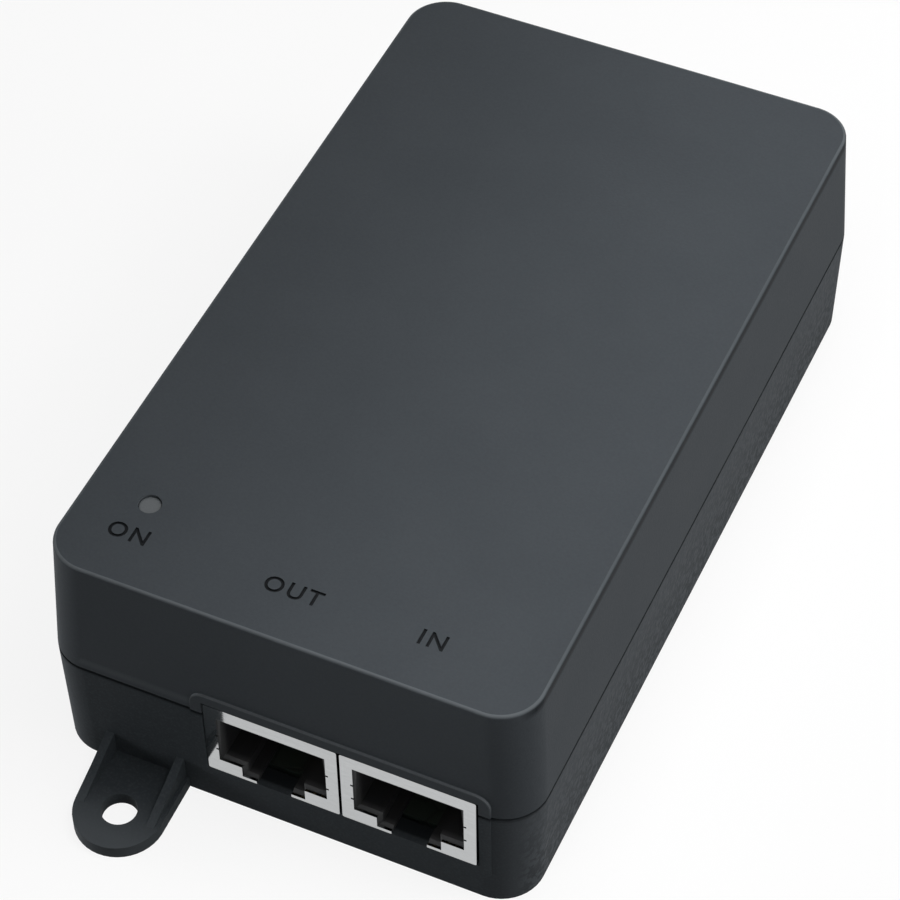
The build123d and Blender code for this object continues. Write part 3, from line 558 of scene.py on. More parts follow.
class PatternWiring(Wiring):
    """The node group of a pattern. It takes a Size in metres and a Stretch, and puts out Shade, Gloss and
    Height, each from 0 to 1. Each pattern has a method with its name, which wires these three."""

    OUTPUTS = ("Shade", "Gloss", "Height")

    def __init__(self, pattern: Pattern) -> None:
        """Wires the group.

        Args:
            pattern: The pattern.
        """
        super().__init__(bpy.data.node_groups.new(pattern.value, "ShaderNodeTree"))
        faces = self.tree.interface
        faces.new_socket("Size", in_out="INPUT", socket_type="NodeSocketFloat")
        faces.new_socket("Stretch", in_out="INPUT", socket_type="NodeSocketVector")
        for name in self.OUTPUTS:
            faces.new_socket(name, in_out="OUTPUT", socket_type="NodeSocketFloat")
        start = self.node("NodeGroupInput").outputs
        stretched = self.node("VectorMath", self.place(), start["Stretch"], operation="MULTIPLY")
        scale = self.sum("DIVIDE", 1.0, start["Size"])
        self.grain = self.node("VectorMath", stretched.outputs[0], operation="SCALE", Scale=scale).outputs[0]
        wired = getattr(self, pattern.name.lower())()
        self.node("NodeGroupOutput", **dict(zip(self.OUTPUTS, wired)))

    def noise(self, scale: float, detail: float = 2.0) -> Socket:
        """A noise between about 0 and 1 at a scale of the grain size."""
        made = self.node("TexNoise", Scale=scale, Detail=detail, Roughness=0.55, Vector=self.grain)
        return self.span(made.outputs[0], 0.28, 0.72)

    def cells(self, scale: float, feature: str = "F1") -> bpy.types.NodeOutputs:
        """The outputs of a Voronoi texture at a scale of the grain size."""
        return self.node("TexVoronoi", feature=feature, Scale=scale, Vector=self.grain).outputs

    def moulded(self) -> Tones:
        """Fine even grain with faint flow marks.

        Returns:
            The shade, gloss and height.
        """
        fine = self.noise(1.0, 3.0)
        broad = self.noise(0.03)
        pits = self.span(self.cells(0.8)["Distance"], 0.0, 0.7)
        return self.blend(fine, 0.55, broad), self.blend(broad, 0.6, pits), self.blend(fine, 0.6, pits)

    def etched(self) -> Tones:
        """Coarse spark-like texture with pale peaks and dark pits.

        Returns:
            The shade, gloss and height.
        """
        blobs = self.span(self.cells(0.9)["Distance"], 0.05, 0.75, 1.0, 0.0)
        rough = self.noise(0.7, 4.0)
        height = self.blend(blobs, 0.5, rough)
        peaks = self.span(height, 0.35, 0.85)
        return self.blend(peaks, 0.7, self.noise(2.3)), rough, height

    def brushed(self) -> Tones:
        """Short drawn lines with faint stains."""
        lines, stains = self.noise(1.0, 4.0), self.noise(0.05, 3.0)
        return self.blend(lines, 0.5, stains), stains, lines

    def wound(self) -> Tones:
        """Round turns laid side by side.

        Returns:
            The shade, gloss and height.
        """
        bands = {"wave_type": "BANDS", "bands_direction": "Z"}
        turns = self.node("TexWave", Scale=0.31, Distortion=0.25, Vector=self.grain, **bands).outputs[1]
        tint = self.noise(0.2)
        return self.blend(turns, 0.6, tint), tint, turns

    def speckled(self) -> Tones:
        """Pressed grains of slightly different tones.

        Returns:
            The shade, gloss and height.
        """
        cells = self.cells(1.0)
        tone = self.node("SeparateColor", cells["Color"]).outputs
        height = self.span(cells["Distance"], 0.0, 0.8, 1.0, 0.0)
        return self.blend(tone[0], 0.5, self.noise(0.15, 3.0)), tone[1], height

    def tracked(self) -> Tones:
        """Broad copper areas parted by thin lines, seen through the solder mask.

        Returns:
            The shade, gloss and height.
        """
        copper = self.span(self.cells(0.16, "DISTANCE_TO_EDGE")["Distance"], 0.03, 0.05)
        weave = self.noise(2.0)
        return self.blend(copper, 0.8, weave), weave, copper

    def fibrous(self) -> Tones:
        """Felted fibres."""
        fibres, clouds = self.noise(1.0, 8.0), self.noise(0.08)
        return self.blend(fibres, 0.4, clouds), clouds, fibres


@cache
def group_of(pattern: Pattern) -> bpy.types.NodeTree:
    """The node group of a pattern, wired the first time it is asked for."""
    return PatternWiring(pattern).tree


# ---------------- finishes
@dataclass(frozen=True)
class Finish:
    """One surface finish: two tones and two roughnesses mixed by a pattern, which also gives the relief."""

    name: str
    pattern: Pattern
    dark: Colour
    light: Colour
    smooth: float
    rough: float
    size: float
    relief: float
    metallic: float = 0.0
    specular: float = 0.5
    coat: float = 0.0
    stretch: Colour = (1.0, 1.0, 1.0)
    tints: tuple["Tint", ...] = ()

    def make(self) -> bpy.types.Material:
        """Builds the material.

        Returns:
            The material, with its Principled shader in plain sight.
        """
        material = bpy.data.materials.new(self.name)
        material.use_nodes = True
        wiring = Wiring(material.node_tree)
        pattern = wiring.pattern(self.pattern, self.size, self.stretch)
        colour = self.colour_over(wiring, wiring.mixed(pattern["Shade"], self.dark, self.light))
        height = self.relief_over(wiring, pattern["Height"])
        wiring.fill(
            material.node_tree.nodes["Principled BSDF"],
            Base_Color=colour,
            Roughness=wiring.span(pattern["Gloss"], 0.0, 1.0, self.smooth, self.rough),
            Metallic=self.metallic_over(wiring),
            Specular_IOR_Level=self.specular,
            Coat_Weight=self.coat,
            Normal=wiring.node("Bump", Strength=1.0, Distance=self.relief * MM, Height=height).outputs[0],
        )
        return material

    def colour_over(self, wiring: Wiring, colour: Socket) -> Socket:
        """Lays the tints over the pattern's tones.

        Args:
            wiring: The material's wiring.
            colour: The pattern's tones.

        Returns:
            The colour that goes to the shader.
        """
        for tint in self.tints:
            colour = tint.over(wiring, colour)
        return colour

    def relief_over(self, wiring: Wiring, height: Socket) -> Socket:
        """The height that goes to the bump; a finish with a relief of its own changes it here."""
        return height

    def metallic_over(self, wiring: Wiring) -> Value:
        """How metallic it is; a finish that is metal in places changes it here."""
        return self.metallic


class Measure(Enum):
    """What a band runs over: a distance in millimetres, or the shade of the coarse pits."""

    HEIGHT = "up from the underside"
    ACROSS = "from the middle along X"
    ALONG = "from the middle along Y"
    PITS = "coarse pits"


@dataclass(frozen=True)
class Band:
    """A mask that goes from a first to a last level while its measure goes from a start to an end."""

    measure: Measure
    start: float
    end: float
    first: float = 0.0
    last: float = 1.0

    def mask(self, wiring: Wiring) -> Socket:
        """Wires the mask.

        Args:
            wiring: The material's wiring.

        Returns:
            The mask.
        """
        unit = MM
        if self.measure is Measure.PITS:
            unit = 1.0
            value = wiring.pattern(*PITS)["Shade"]
        elif self.measure is Measure.HEIGHT:
            value = wiring.spot()[2]
        else:
            value = wiring.reach(0 if self.measure is Measure.ACROSS else 1)
        return wiring.span(value, self.start * unit, self.end * unit, self.first, self.last)


@dataclass(frozen=True)
class PanelHead:
    """The edge of the rounded head of a raised panel in one end of the case, round some nodes, where a
    highlight is painted.
    """

    nodes: tuple[str, ...]
    end: float
    beside: float = 1.63 * MM
    above: float = 1.5 * MM
    radius: float = 1.8 * MM
    width: float = 0.18 * MM
    wall: tuple[float, float] = (49.90 * MM, 49.94 * MM)
    radii_down: tuple[float, float] = (1.6, 0.5)

    def mask(self, wiring: Wiring) -> Socket:
        """Works out where the edge runs, on the panel and not on the wall beside it.

        Args:
            wiring: The material's wiring.

        Returns:
            A mask that is 1 along the edge.
        """
        boxes = [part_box(node) for node in self.nodes]
        low = min(box[0].x for box in boxes)
        high = max(box[1].x for box in boxes)
        top = boxes[0][1].z + self.above
        x, y, z = wiring.spot()
        off = wiring.sum("ABSOLUTE", wiring.sum("SUBTRACT", x, (low + high) / 2))
        squares = []
        for value, reach in ((off, (high - low) / 2 + self.beside), (z, top)):
            past = wiring.sum("MAXIMUM", wiring.sum("SUBTRACT", value, reach - self.radius), 0.0)
            squares.append(wiring.sum("POWER", past, 2.0))
        out = wiring.sum("SQRT", wiring.sum("ADD", *squares))
        return wiring.product(
            wiring.span(out, self.radius - self.width, self.radius - self.width / 2),
            wiring.span(wiring.product(y, self.end), *self.wall),
            wiring.span(z, *(top - down * self.radius for down in self.radii_down)),
        )


@dataclass(frozen=True)
class Tint:
    """A colour laid over a finish where all masks of one of its groups meet."""

    colour: Colour
    groups: tuple[tuple[Band | PanelHead, ...], ...]

    def over(self, wiring: Wiring, colour: Socket) -> Socket:
        """Lays the tint over a colour.

        Args:
            wiring: The material's wiring.
            colour: The colour under it.

        Returns:
            The colour with the tint.
        """
        mask, *others = (wiring.product(*(part.mask(wiring) for part in group)) for group in self.groups)
        for other in others:
            mask = wiring.sum("MAXIMUM", mask, other)
        return wiring.mixed(mask, colour, self.colour)


@dataclass(frozen=True)
class BaseFinish(Finish):
    """The base's plastic, whose fine grain gives way to coarse pits on its long sides."""

    fine_share: float = 0.3

    def relief_over(self, wiring: Wiring, height: Socket) -> Socket:
        """Adds the coarse relief to the fine one on the sides.

        Args:
            wiring: The material's wiring.
            height: The fine grain's height.

        Returns:
            The height of both.
        """
        coarse = wiring.product(wiring.pattern(*PITS)["Height"], LONG_SIDES.mask(wiring))
        return wiring.sum("ADD", wiring.product(height, self.fine_share), coarse)


@dataclass(frozen=True)
class SleeveFinish(Finish):
    """A capacitor sleeve with a plain pale stripe down one side."""

    stripe_x: float = 0.0
    stripe: Colour = (0.30, 0.34, 0.38)

    def colour_over(self, wiring: Wiring, colour: Socket) -> Socket:
        """The sleeve's own colour, with the stripe over it."""
        return wiring.mixed(wiring.sum("LESS_THAN", wiring.spot()[0], self.stripe_x), colour, self.stripe)


@dataclass(frozen=True)
class FuseFinish(Finish):
    """A ceramic fuse tube with bright end caps."""

    middle_y: float = 0.0
    half_body: float = 0.0
    cap: Colour = (0.62, 0.62, 0.60)

    def metallic_over(self, wiring: Wiring) -> Socket:
        """A mask that is 1 on the caps."""
        offset = wiring.sum("ABSOLUTE", wiring.sum("SUBTRACT", wiring.spot()[1], self.middle_y))
        return wiring.sum("GREATER_THAN", offset, self.half_body)

    def colour_over(self, wiring: Wiring, colour: Socket) -> Socket:
        """The tube's own colour, with the caps' over it."""
        return wiring.mixed(self.metallic_over(wiring), colour, self.cap)


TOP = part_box("top_cover")[1].z / MM
SEAM = 15.0
PITS = (Pattern.ETCHED, 0.75, (1.0, 1.0, 1.0))
LONG_SIDES = Band(Measure.ACROSS, 27.0, 28.4)
# Pale line painted on the rounding of the cover's top edge, stronger towards the ends: a painted highlight.
RIM_HIGHLIGHT = (
    Band(Measure.HEIGHT, TOP - 0.28, TOP - 0.08),
    Band(Measure.HEIGHT, TOP - 0.004, TOP - 0.001, 1.0, 0.0),
    Band(Measure.ALONG, 38.0, 48.0, 0.45, 1.0),
)
# Dark band painted just under the rounding of the cover's long top edges: painted shade.
UNDER_LONG_EDGES_SHADE = (
    Band(Measure.HEIGHT, TOP - 1.50, TOP - 0.80, 0.0, 0.90),
    Band(Measure.HEIGHT, TOP - 0.35, TOP - 0.12, 1.0, 0.0),
    Band(Measure.ACROSS, 27.0, 28.0),
)
SIDE_PITS = (Band(Measure.PITS, 0.16, 0.42, 1.0, 0.0), Band(Measure.HEIGHT, 1.0, 12.0, 0.8, 0.22), LONG_SIDES)
# Inside of the base painted near black: painted shade.
BASE_INSIDE_SHADE = (
    Band(Measure.ALONG, 49.10, 49.40, 1.0, 0.0),
    Band(Measure.ACROSS, 25.00, 25.50, 0.8, 0.0),
    Band(Measure.HEIGHT, 1.5, 2.5),
)
# Pale line painted along the edge of each panel head: a painted highlight.
FRONT_HEAD_HIGHLIGHT = (PanelHead(("out_socket_shield", "in_socket_shield"), -1.0),)
FAR_HEAD_HIGHLIGHT = (PanelHead(("inlet_housing",), 1.0),)
# Band just under the seam painted dark: painted shade in the seam.
SEAM_LIP_SHADE = (Band(Measure.HEIGHT, SEAM - 0.60, SEAM - 0.25, 0.0, 0.55),)

COVER = Finish("cover plastic", Pattern.MOULDED, (0.040, 0.0455, 0.051), (0.048, 0.054, 0.060),
               0.52, 0.62, 0.28, 0.012, specular=0.03, tints=(
                   # Painted highlight: a pale line along the cover's top edge and along the edges of the
                   # panel heads.
                   Tint((0.085, 0.094, 0.101), (RIM_HIGHLIGHT, FRONT_HEAD_HIGHLIGHT, FAR_HEAD_HIGHLIGHT)),
                   # Painted shade under the long top edges.
                   Tint((0.010, 0.012, 0.014), (UNDER_LONG_EDGES_SHADE,)),
               ))
BASE = BaseFinish("base plastic", Pattern.ETCHED, (0.029, 0.034, 0.038), (0.044, 0.050, 0.055),
                  0.55, 0.72, 0.30, 0.035, specular=0.03, tints=(
                      # Painted light: the ears are painted paler towards their tips, where more light falls.
                      Tint((0.064, 0.071, 0.077), ((Band(Measure.ALONG, 54.5, 60.5, 0.0, 0.8),),)),
                      # Painted light: the base is painted paler round its corners and along its long sides,
                      # where the side lights fall.
                      Tint((0.066, 0.073, 0.080), ((Band(Measure.ACROSS, 23.6, 28.4, 0.0, 0.75),),)),
                      Tint((0.022, 0.025, 0.028), (SIDE_PITS,)),
                      # Painted shade in the seam and inside the base.
                      Tint((0.004, 0.005, 0.006), (SEAM_LIP_SHADE, BASE_INSIDE_SHADE)),
                  ))
# Near-black colour of the pressed-in letters' recesses: painted shade.
LETTER = Finish("letter recess", Pattern.MOULDED, (0.004, 0.005, 0.006), (0.007, 0.008, 0.009),
                0.6, 0.75, 0.2, 0.008, specular=0.1)
SCREW_STEEL = Finish("zinc-plated steel", Pattern.BRUSHED, (0.42, 0.42, 0.40), (0.60, 0.60, 0.58),
                     0.26, 0.42, 0.3, 0.006, metallic=1.0)
LENS = Finish("frosted lens", Pattern.MOULDED, (0.062, 0.068, 0.073), (0.078, 0.085, 0.090),
              0.34, 0.46, 0.25, 0.004, specular=0.3, coat=0.1)
LED_BODY = Finish("lamp body", Pattern.MOULDED, (0.62, 0.60, 0.52), (0.75, 0.73, 0.66), 0.3, 0.4, 0.3, 0.004)
BOARD = Finish("circuit board", Pattern.TRACKED, (0.006, 0.008, 0.007), (0.012, 0.017, 0.014),
               0.36, 0.5, 0.6, 0.02, specular=0.3, coat=0.05)
SHEET = Finish("insulating sheet", Pattern.FIBROUS, (0.020, 0.020, 0.021), (0.034, 0.034, 0.036),
               0.4, 0.55, 0.5, 0.01, specular=0.3)
LABEL = Finish("blank label film", Pattern.FIBROUS, (0.40, 0.41, 0.42), (0.47, 0.48, 0.49),
               0.38, 0.5, 0.8, 0.004, specular=0.35)
SHIELD = Finish("nickel-plated shield", Pattern.BRUSHED, (0.45, 0.46, 0.465), (0.51, 0.52, 0.525),
                0.05, 0.085, 0.35, 0.0006, metallic=1.0, stretch=(0.25, 1.0, 1.0))
INSERT = Finish("socket insert", Pattern.MOULDED, (0.036, 0.037, 0.038), (0.048, 0.049, 0.050),
                0.40, 0.55, 0.3, 0.006, specular=0.15, tints=(
                    # Painted shade: the insert is painted darker deeper inside its mouth.
                    Tint((0.006, 0.006, 0.007), ((Band(Measure.ALONG, 48.7, 49.5, 0.85, 0.0),),)),
                ))
CONTACT = Finish("gold-plated contact", Pattern.BRUSHED, (0.72, 0.48, 0.17), (0.90, 0.64, 0.27),
                 0.18, 0.3, 0.2, 0.002, metallic=1.0)
BLADE = Finish("nickel-plated blade", Pattern.BRUSHED, (0.50, 0.48, 0.43), (0.64, 0.62, 0.57),
               0.2, 0.34, 0.3, 0.004, metallic=1.0, stretch=(1.0, 0.2, 1.0))
CAPACITOR_BOX = Finish("capacitor box", Pattern.MOULDED, (0.50, 0.34, 0.03), (0.60, 0.42, 0.05),
                       0.35, 0.48, 0.4, 0.01)
FERRITE = Finish("ferrite", Pattern.SPECKLED, (0.020, 0.020, 0.022), (0.050, 0.050, 0.053),
                 0.4, 0.6, 0.25, 0.02)
COPPER = Finish("enamelled wire", Pattern.WOUND, (0.36, 0.11, 0.03), (0.70, 0.27, 0.10),
                0.22, 0.34, 0.7, 0.12, metallic=1.0, coat=0.3)
DISC_BLUE = Finish("blue dipped coating", Pattern.MOULDED, (0.010, 0.060, 0.26), (0.020, 0.085, 0.33),
                   0.2, 0.32, 0.9, 0.03, coat=0.3)
DISC_GREEN = Finish("green dipped coating", Pattern.MOULDED, (0.008, 0.040, 0.022), (0.016, 0.060, 0.032),
                    0.24, 0.36, 0.9, 0.03, coat=0.2)
CHIP_RESIN = Finish("chip resin", Pattern.SPECKLED, (0.010, 0.010, 0.011), (0.020, 0.020, 0.022),
                    0.45, 0.6, 0.12, 0.006, specular=0.3)
CAN = Finish("capacitor can", Pattern.BRUSHED, (0.62, 0.63, 0.64), (0.78, 0.79, 0.80),
             0.24, 0.38, 0.3, 0.004, metallic=1.0, stretch=(1.0, 1.0, 0.15))
BOBBIN = Finish("bobbin resin", Pattern.MOULDED, (0.018, 0.013, 0.011), (0.030, 0.021, 0.018),
                0.4, 0.55, 0.4, 0.01)
TAPE = Finish("yellow tape", Pattern.FIBROUS, (0.62, 0.42, 0.03), (0.74, 0.53, 0.06),
              0.28, 0.4, 0.9, 0.008, coat=0.2)
HEATSINK = Finish("heatsink aluminium", Pattern.BRUSHED, (0.60, 0.61, 0.62), (0.76, 0.77, 0.78),
                  0.32, 0.46, 0.3, 0.01, metallic=1.0, stretch=(1.0, 1.0, 0.12))
PAD = Finish("silicone pad", Pattern.FIBROUS, (0.20, 0.26, 0.30), (0.27, 0.33, 0.37), 0.5, 0.65, 0.4, 0.01)
CHIP_CERAMIC = Finish("chip ceramic", Pattern.SPECKLED, (0.26, 0.17, 0.10), (0.38, 0.27, 0.17),
                      0.4, 0.55, 0.1, 0.004)
SLEEVE = SleeveFinish("capacitor sleeve", Pattern.MOULDED, (0.008, 0.016, 0.040), (0.014, 0.026, 0.060),
                      0.24, 0.34, 0.8, 0.004, coat=0.3)
FUSE = FuseFinish("fuse tube", Pattern.MOULDED, (0.60, 0.55, 0.44), (0.70, 0.65, 0.54),
                  0.24, 0.36, 0.4, 0.004)


def dress_node(node: str, material: bpy.types.Material) -> None:
    """Gives a CAD node its finish.

    Args:
        node: The node's name.
        material: The finish's material.
    """
    thing = frame["nodes"][node]
    thing.data.materials.clear()
    thing.data.materials.append(material)
    LOG.info("%s: %s", node, material.name)


class Assembly:
    """A sub-assembly: it builds pieces of its own and dresses the CAD's."""

    def build(self) -> None:
        """Builds its pieces, if it has any."""

    def dress(self) -> None:
        """Gives the CAD's pieces their finishes, if it keeps any."""


# ---------------- case
@dataclass
class CrossScrew:
    """A countersunk screw: a rounded head with a cross recess, and a ridged shank that points up.

    The rounding and the recess are shares of the head's sizes.
    """

    head_radius: float = 2.7 * MM
    head_height: float = 1.8 * MM
    shank_radius: float = 1.45 * MM
    sides: int = 40
    rounding: float = 0.22
    turns: int = 9
    ridge: float = 0.78
    tip: float = 0.6
    recess: tuple[float, float, float] = (0.62, 0.14, 0.5)
    recess_taper: float = 0.55

    def build(self, name: str, foot: Vector, length: float) -> Workpiece:
        """Turns the screw.

        Args:
            name: The piece's name.
            foot: The middle of the head's outer face.
            length: The whole length.

        Returns:
            The screw.
        """
        up = Vector((0.0, 0.0, 1.0))
        middle = foot + up * self.head_height / 2
        screw = Workpiece.rod(name, middle, self.head_radius, self.head_height, self.sides)
        low = self.head_height * 0.1
        screw.round_edges(self.head_height * self.rounding, 3,
                          lambda place, line: (place - foot).z < low and abs(line.z) < 0.1)
        screw.choose(Pick.FACES, lambda place, normal: normal.z > STRAIGHT)
        bpy.ops.mesh.inset(thickness=self.head_radius - self.shank_radius)
        steps = 2 * self.turns
        step = (length - self.head_height) / steps
        grows = [self.ridge, 1 / self.ridge] * self.turns
        grows[-1] = self.tip
        for index, grow in enumerate(grows, 1):
            bpy.ops.mesh.extrude_region_move(TRANSFORM_OT_translate={"value": up * step})
            spot = foot + up * (self.head_height + index * step)
            bpy.ops.transform.resize(value=(grow, grow, 1.0), center_override=spot)
        screw.rest()
        long, wide, deep = self.recess
        along = Vector((self.head_radius * long, self.head_radius * wide, self.head_height * deep))
        for half in (along, along.yxz):
            slot = Workpiece.block("slot", foot - half, foot + half)
            slot.choose(Pick.FACES, lambda place, normal: normal.z > STRAIGHT)
            taper = (self.recess_taper, self.recess_taper, 1.0)
            bpy.ops.transform.resize(value=taper, center_override=foot + up * half.z)
            screw.carve(slot.rest())
        return screw


@dataclass
class CaseShells(Assembly):
    """The two halves of the case, the words pressed into the cover and the screws that hold them."""

    word_height: float = 2.0 * MM
    word_depth: float = 0.22 * MM
    word_weight: float = 0.045 * MM
    word_y: float = -42.6 * MM
    label_corner: float = 2.0 * MM
    label_border: float = 0.6 * MM

    def build(self) -> None:
        """Builds the cover, the screws and the label."""
        self.build_cover()
        self.build_screws()
        self.build_label()

    def build_cover(self) -> None:
        """Presses the words into a copy of the cover."""
        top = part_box("top_cover")[1].z
        cover = Workpiece.of_node("top_cover", "top_cover_shell").paint(COVER.make())
        # The letters' recesses take a near-black colour that is painted shade.
        dark = LETTER.make()
        places = {"ON": -20.7 * MM, "OUT": -1.2 * MM, "IN": 14.9 * MM}
        for text, x in places.items():
            middle = Vector((x, self.word_y, top))
            word = Workpiece.words(text, middle, self.word_height, self.word_depth, self.word_weight)
            cover.carve(word.paint(dark))
        cover.fit("case", "case_plastic", "top_cover")

    def build_screws(self) -> None:
        """Turns one case screw and sets four of it."""
        kind = CrossScrew()
        low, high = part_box("case_screws")
        x = low.x + kind.head_radius
        y = low.y + kind.head_radius
        first = kind.build("case_screw_1", Vector((x, y, low.z)), high.z - low.z)
        first.paint(SCREW_STEEL.make())
        far = Vector((high.x - kind.head_radius - x, high.y - kind.head_radius - y, 0.0))
        places = [Vector((far.x, 0, 0)), Vector((0, far.y, 0)), far]
        screws = [first] + [first.copy(f"case_screw_{index}", shift) for index, shift in enumerate(places, 2)]
        for screw in screws:
            screw.fit("case", "screw_steel", "case_screws")

    def build_label(self) -> None:
        """Cuts the blank label with rounded corners."""
        label = Workpiece.block("blank_label", *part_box("rating_label"))
        label.round_edges(self.label_corner, 8, lambda place, way: abs(way.z) > STRAIGHT)
        label.choose(Pick.FACES, lambda place, normal: normal.z < -STRAIGHT)
        bpy.ops.mesh.inset(thickness=self.label_border, depth=0.0)
        label.paint(LABEL.make()).fit("case", "label", "rating_label")

    def dress(self) -> None:
        """Gives the bottom case its texture."""
        dress_node("bottom_case", BASE.make())


# ---------------- indicator
@dataclass
class Indicator(Assembly):
    """The light pipe, whose frosted end shows in the cover, and the lamp under it."""

    end_radius: float = 1.25 * MM
    end_rounding: float = 0.06 * MM
    rings: int = 4

    def build(self) -> None:
        """Turns the light pipe with a rounded end."""
        low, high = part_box("led_light_pipe")
        middle = (low + high) / 2
        pipe = Workpiece.rod("light_pipe", middle, self.end_radius, high.z - low.z, sides=64)
        pipe.choose(Pick.FACES, lambda place, normal: normal.z > STRAIGHT)
        for _ in range(self.rings):
            bpy.ops.mesh.inset(thickness=self.end_radius / (self.rings + 1), depth=0.0)
        pipe.rest()
        pipe.round_edges(self.end_rounding, 2, lambda place, line: place.z > high.z - TOUCHING
                         and (place.xy - middle.xy).length > self.end_radius * 0.98 and abs(line.z) < 0.1)
        pipe.paint(LENS.make()).fit("case", "lens", "led_light_pipe")

    def dress(self) -> None:
        """Gives the lamp its resin."""
        dress_node("power_led", LED_BODY.make())


# ---------------- network sockets
@dataclass
class NetworkSocket(Assembly):
    """One shielded socket: its bent shield, black insert, fixed contacts and sprung arms.

    An arm's bends are shares of the way to its knee, each with a rise in millimetres.
    """

    name: str
    sheet: float = 0.3 * MM
    bend: float = 0.22 * MM
    lead_in: float = 0.45 * MM
    mouth_width: float = 13.0 * MM
    mouth_height: float = 7.35 * MM
    mouth_rise: float = 2.05 * MM
    step_width: float = 7.6 * MM
    step_depth: float = 1.6 * MM
    latch_width: float = 4.2 * MM
    slit_rises: tuple[float, float] = (1.9 * MM, 4.3 * MM)
    slit_width: float = 0.28 * MM
    slit_length: float = 0.3 * MM
    contact_count: int = 8
    contact_width: float = 0.46 * MM
    contact_thickness: float = 0.3 * MM
    contact_rounding: float = 0.06 * MM
    arm_bends: tuple[tuple[float, float], ...] = (
        (0.0, 0.0), (0.35, 0.0), (0.7, 0.06), (0.92, 0.0), (1.0, 0.02),
    )
    knee_from_tip: float = 1.15 * MM
    tip_rise: float = 0.5 * MM

    def build(self) -> None:
        """Builds the shield, the insert and the sprung arms."""
        self.build_shield()
        self.build_insert()
        self.build_springs()

    def build_shield(self) -> None:
        """Folds the shield from a block: cuts the mouth out of its face and gives the sheet its thickness."""
        node = f"{self.name}_socket_shield"
        low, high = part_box(node)
        x = (low.x + high.x) / 2
        sill = low.z + self.mouth_rise
        shell = Workpiece.block(f"{self.name}_shield_folded", low, high)
        shell.round_edges(self.bend, 3, lambda place, line: abs(line.y) > STRAIGHT)
        shell.choose(Pick.FACES, lambda place, normal: normal.z < -0.6)
        bpy.ops.mesh.delete(type="FACE")
        reaches = [self.latch_width / 2, self.step_width / 2, self.mouth_width / 2]
        reaches.append(self.mouth_width / 2 + self.slit_length)
        columns = [x + side * reach for reach in reaches for side in (-1, 1)]
        shell.split(columns, Vector((1.0, 0.0, 0.0)), lambda place, normal: normal.y < -STRAIGHT)
        levels = [sill - self.step_depth, sill, sill + self.mouth_height]
        for rise in self.slit_rises:
            levels += [sill + rise - self.slit_width / 2, sill + rise + self.slit_width / 2]
        shell.split(levels, Vector((0.0, 0.0, 1.0)), lambda place, normal: normal.y < -STRAIGHT)
        shell.choose(Pick.FACES, lambda place, normal: normal.y < -STRAIGHT and self.is_open(place, x, sill))
        bpy.ops.mesh.delete(type="FACE")
        shell.modify("SOLIDIFY", thickness=self.sheet, offset=-1.0, use_even_offset=True)
        shell.tidy_normals()
        shell.paint(SHIELD.make()).fit("case", "shield_metal", node)

    def build_insert(self) -> None:
        """Cuts lead-in slopes along the lower lips of the insert's mouth."""
        node = f"{self.name}_socket_housing"
        low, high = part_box(node)
        foot = Vector(((low.x + high.x) / 2, low.y, low.z))
        insert = Workpiece.of_node(node, f"{self.name}_insert")
        insert.round_edges(self.lead_in, 1, lambda place, line: self.is_lip(place - foot))
        insert.paint(INSERT.make()).fit("case", "socket_plastic", node)

    def is_lip(self, offset: Vector) -> bool:
        """Whether an edge runs along the lips, steps or sides of the mouth in the insert's front.

        Args:
            offset: The edge's middle, from the bottom middle of the insert's front.

        Returns:
            True on the lips the plug slides in over.
        """
        rise = offset.z - self.mouth_rise
        in_width = self.latch_width / 2 + 0.1 * MM < abs(offset.x) < self.mouth_width / 2 - 0.2 * MM
        in_height = -self.step_depth < rise < self.mouth_height - 0.3 * MM
        return abs(offset.y) < TOUCHING and in_width and in_height

    def is_open(self, place: Vector, x: float, sill: float) -> bool:
        """Whether a place on the shield's face lies in its mouth.

        Args:
            place: The place.
            x: The socket's middle.
            sill: The height of the mouth's lower edge.

        Returns:
            True in the plug's space, the latch step, the latch notch or a finger slit.
        """
        reach = abs(place.x - x)
        rise = place.z - sill
        in_plug = 0 < rise < self.mouth_height and reach < self.mouth_width / 2
        in_step = -self.step_depth < rise < 0 and reach < self.step_width / 2
        in_latch = rise < 0 and reach < self.latch_width / 2
        in_slit = any(abs(rise - centre) < self.slit_width / 2 for centre in self.slit_rises)
        return in_plug or in_step or in_latch or (in_slit and reach < self.mouth_width / 2 + self.slit_length)

    def build_springs(self) -> None:
        """Bends one sprung arm and sets all of them side by side."""
        node = f"{self.name}_socket_springs"
        low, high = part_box(node)
        half = self.contact_thickness / 2
        start = Vector((low.x + self.contact_width / 2, low.y + half, high.z - half))
        knee = Vector((start.x, high.y - self.knee_from_tip, low.z + half))
        tip = Vector((start.x, high.y - half, low.z + half + self.tip_rise))
        path = [start.lerp(knee, share) + mm(0, 0, rise) for share, rise in self.arm_bends]
        path += [knee.lerp(tip, 0.5), tip]
        arm = Workpiece.strip(f"{self.name}_spring_1", self.contact_width, path, self.contact_thickness)
        arm.modify("BEVEL", width=self.contact_rounding, segments=2, limit_method="ANGLE")
        pitch = (high.x - low.x - self.contact_width) / (self.contact_count - 1)
        shifts = [Vector((index * pitch, 0, 0)) for index in range(1, self.contact_count)]
        arm.absorb([arm.copy(f"{self.name}_spring_{index}", shift) for index, shift in enumerate(shifts, 2)])
        arm.thing.name = f"{self.name}_spring_arms"
        arm.paint(CONTACT.make()).fit(f"{self.name}_springs", "contact_metal", node)

    def dress(self) -> None:
        """Gives the fixed contacts their plating."""
        dress_node(f"{self.name}_socket_leads", CONTACT.make())


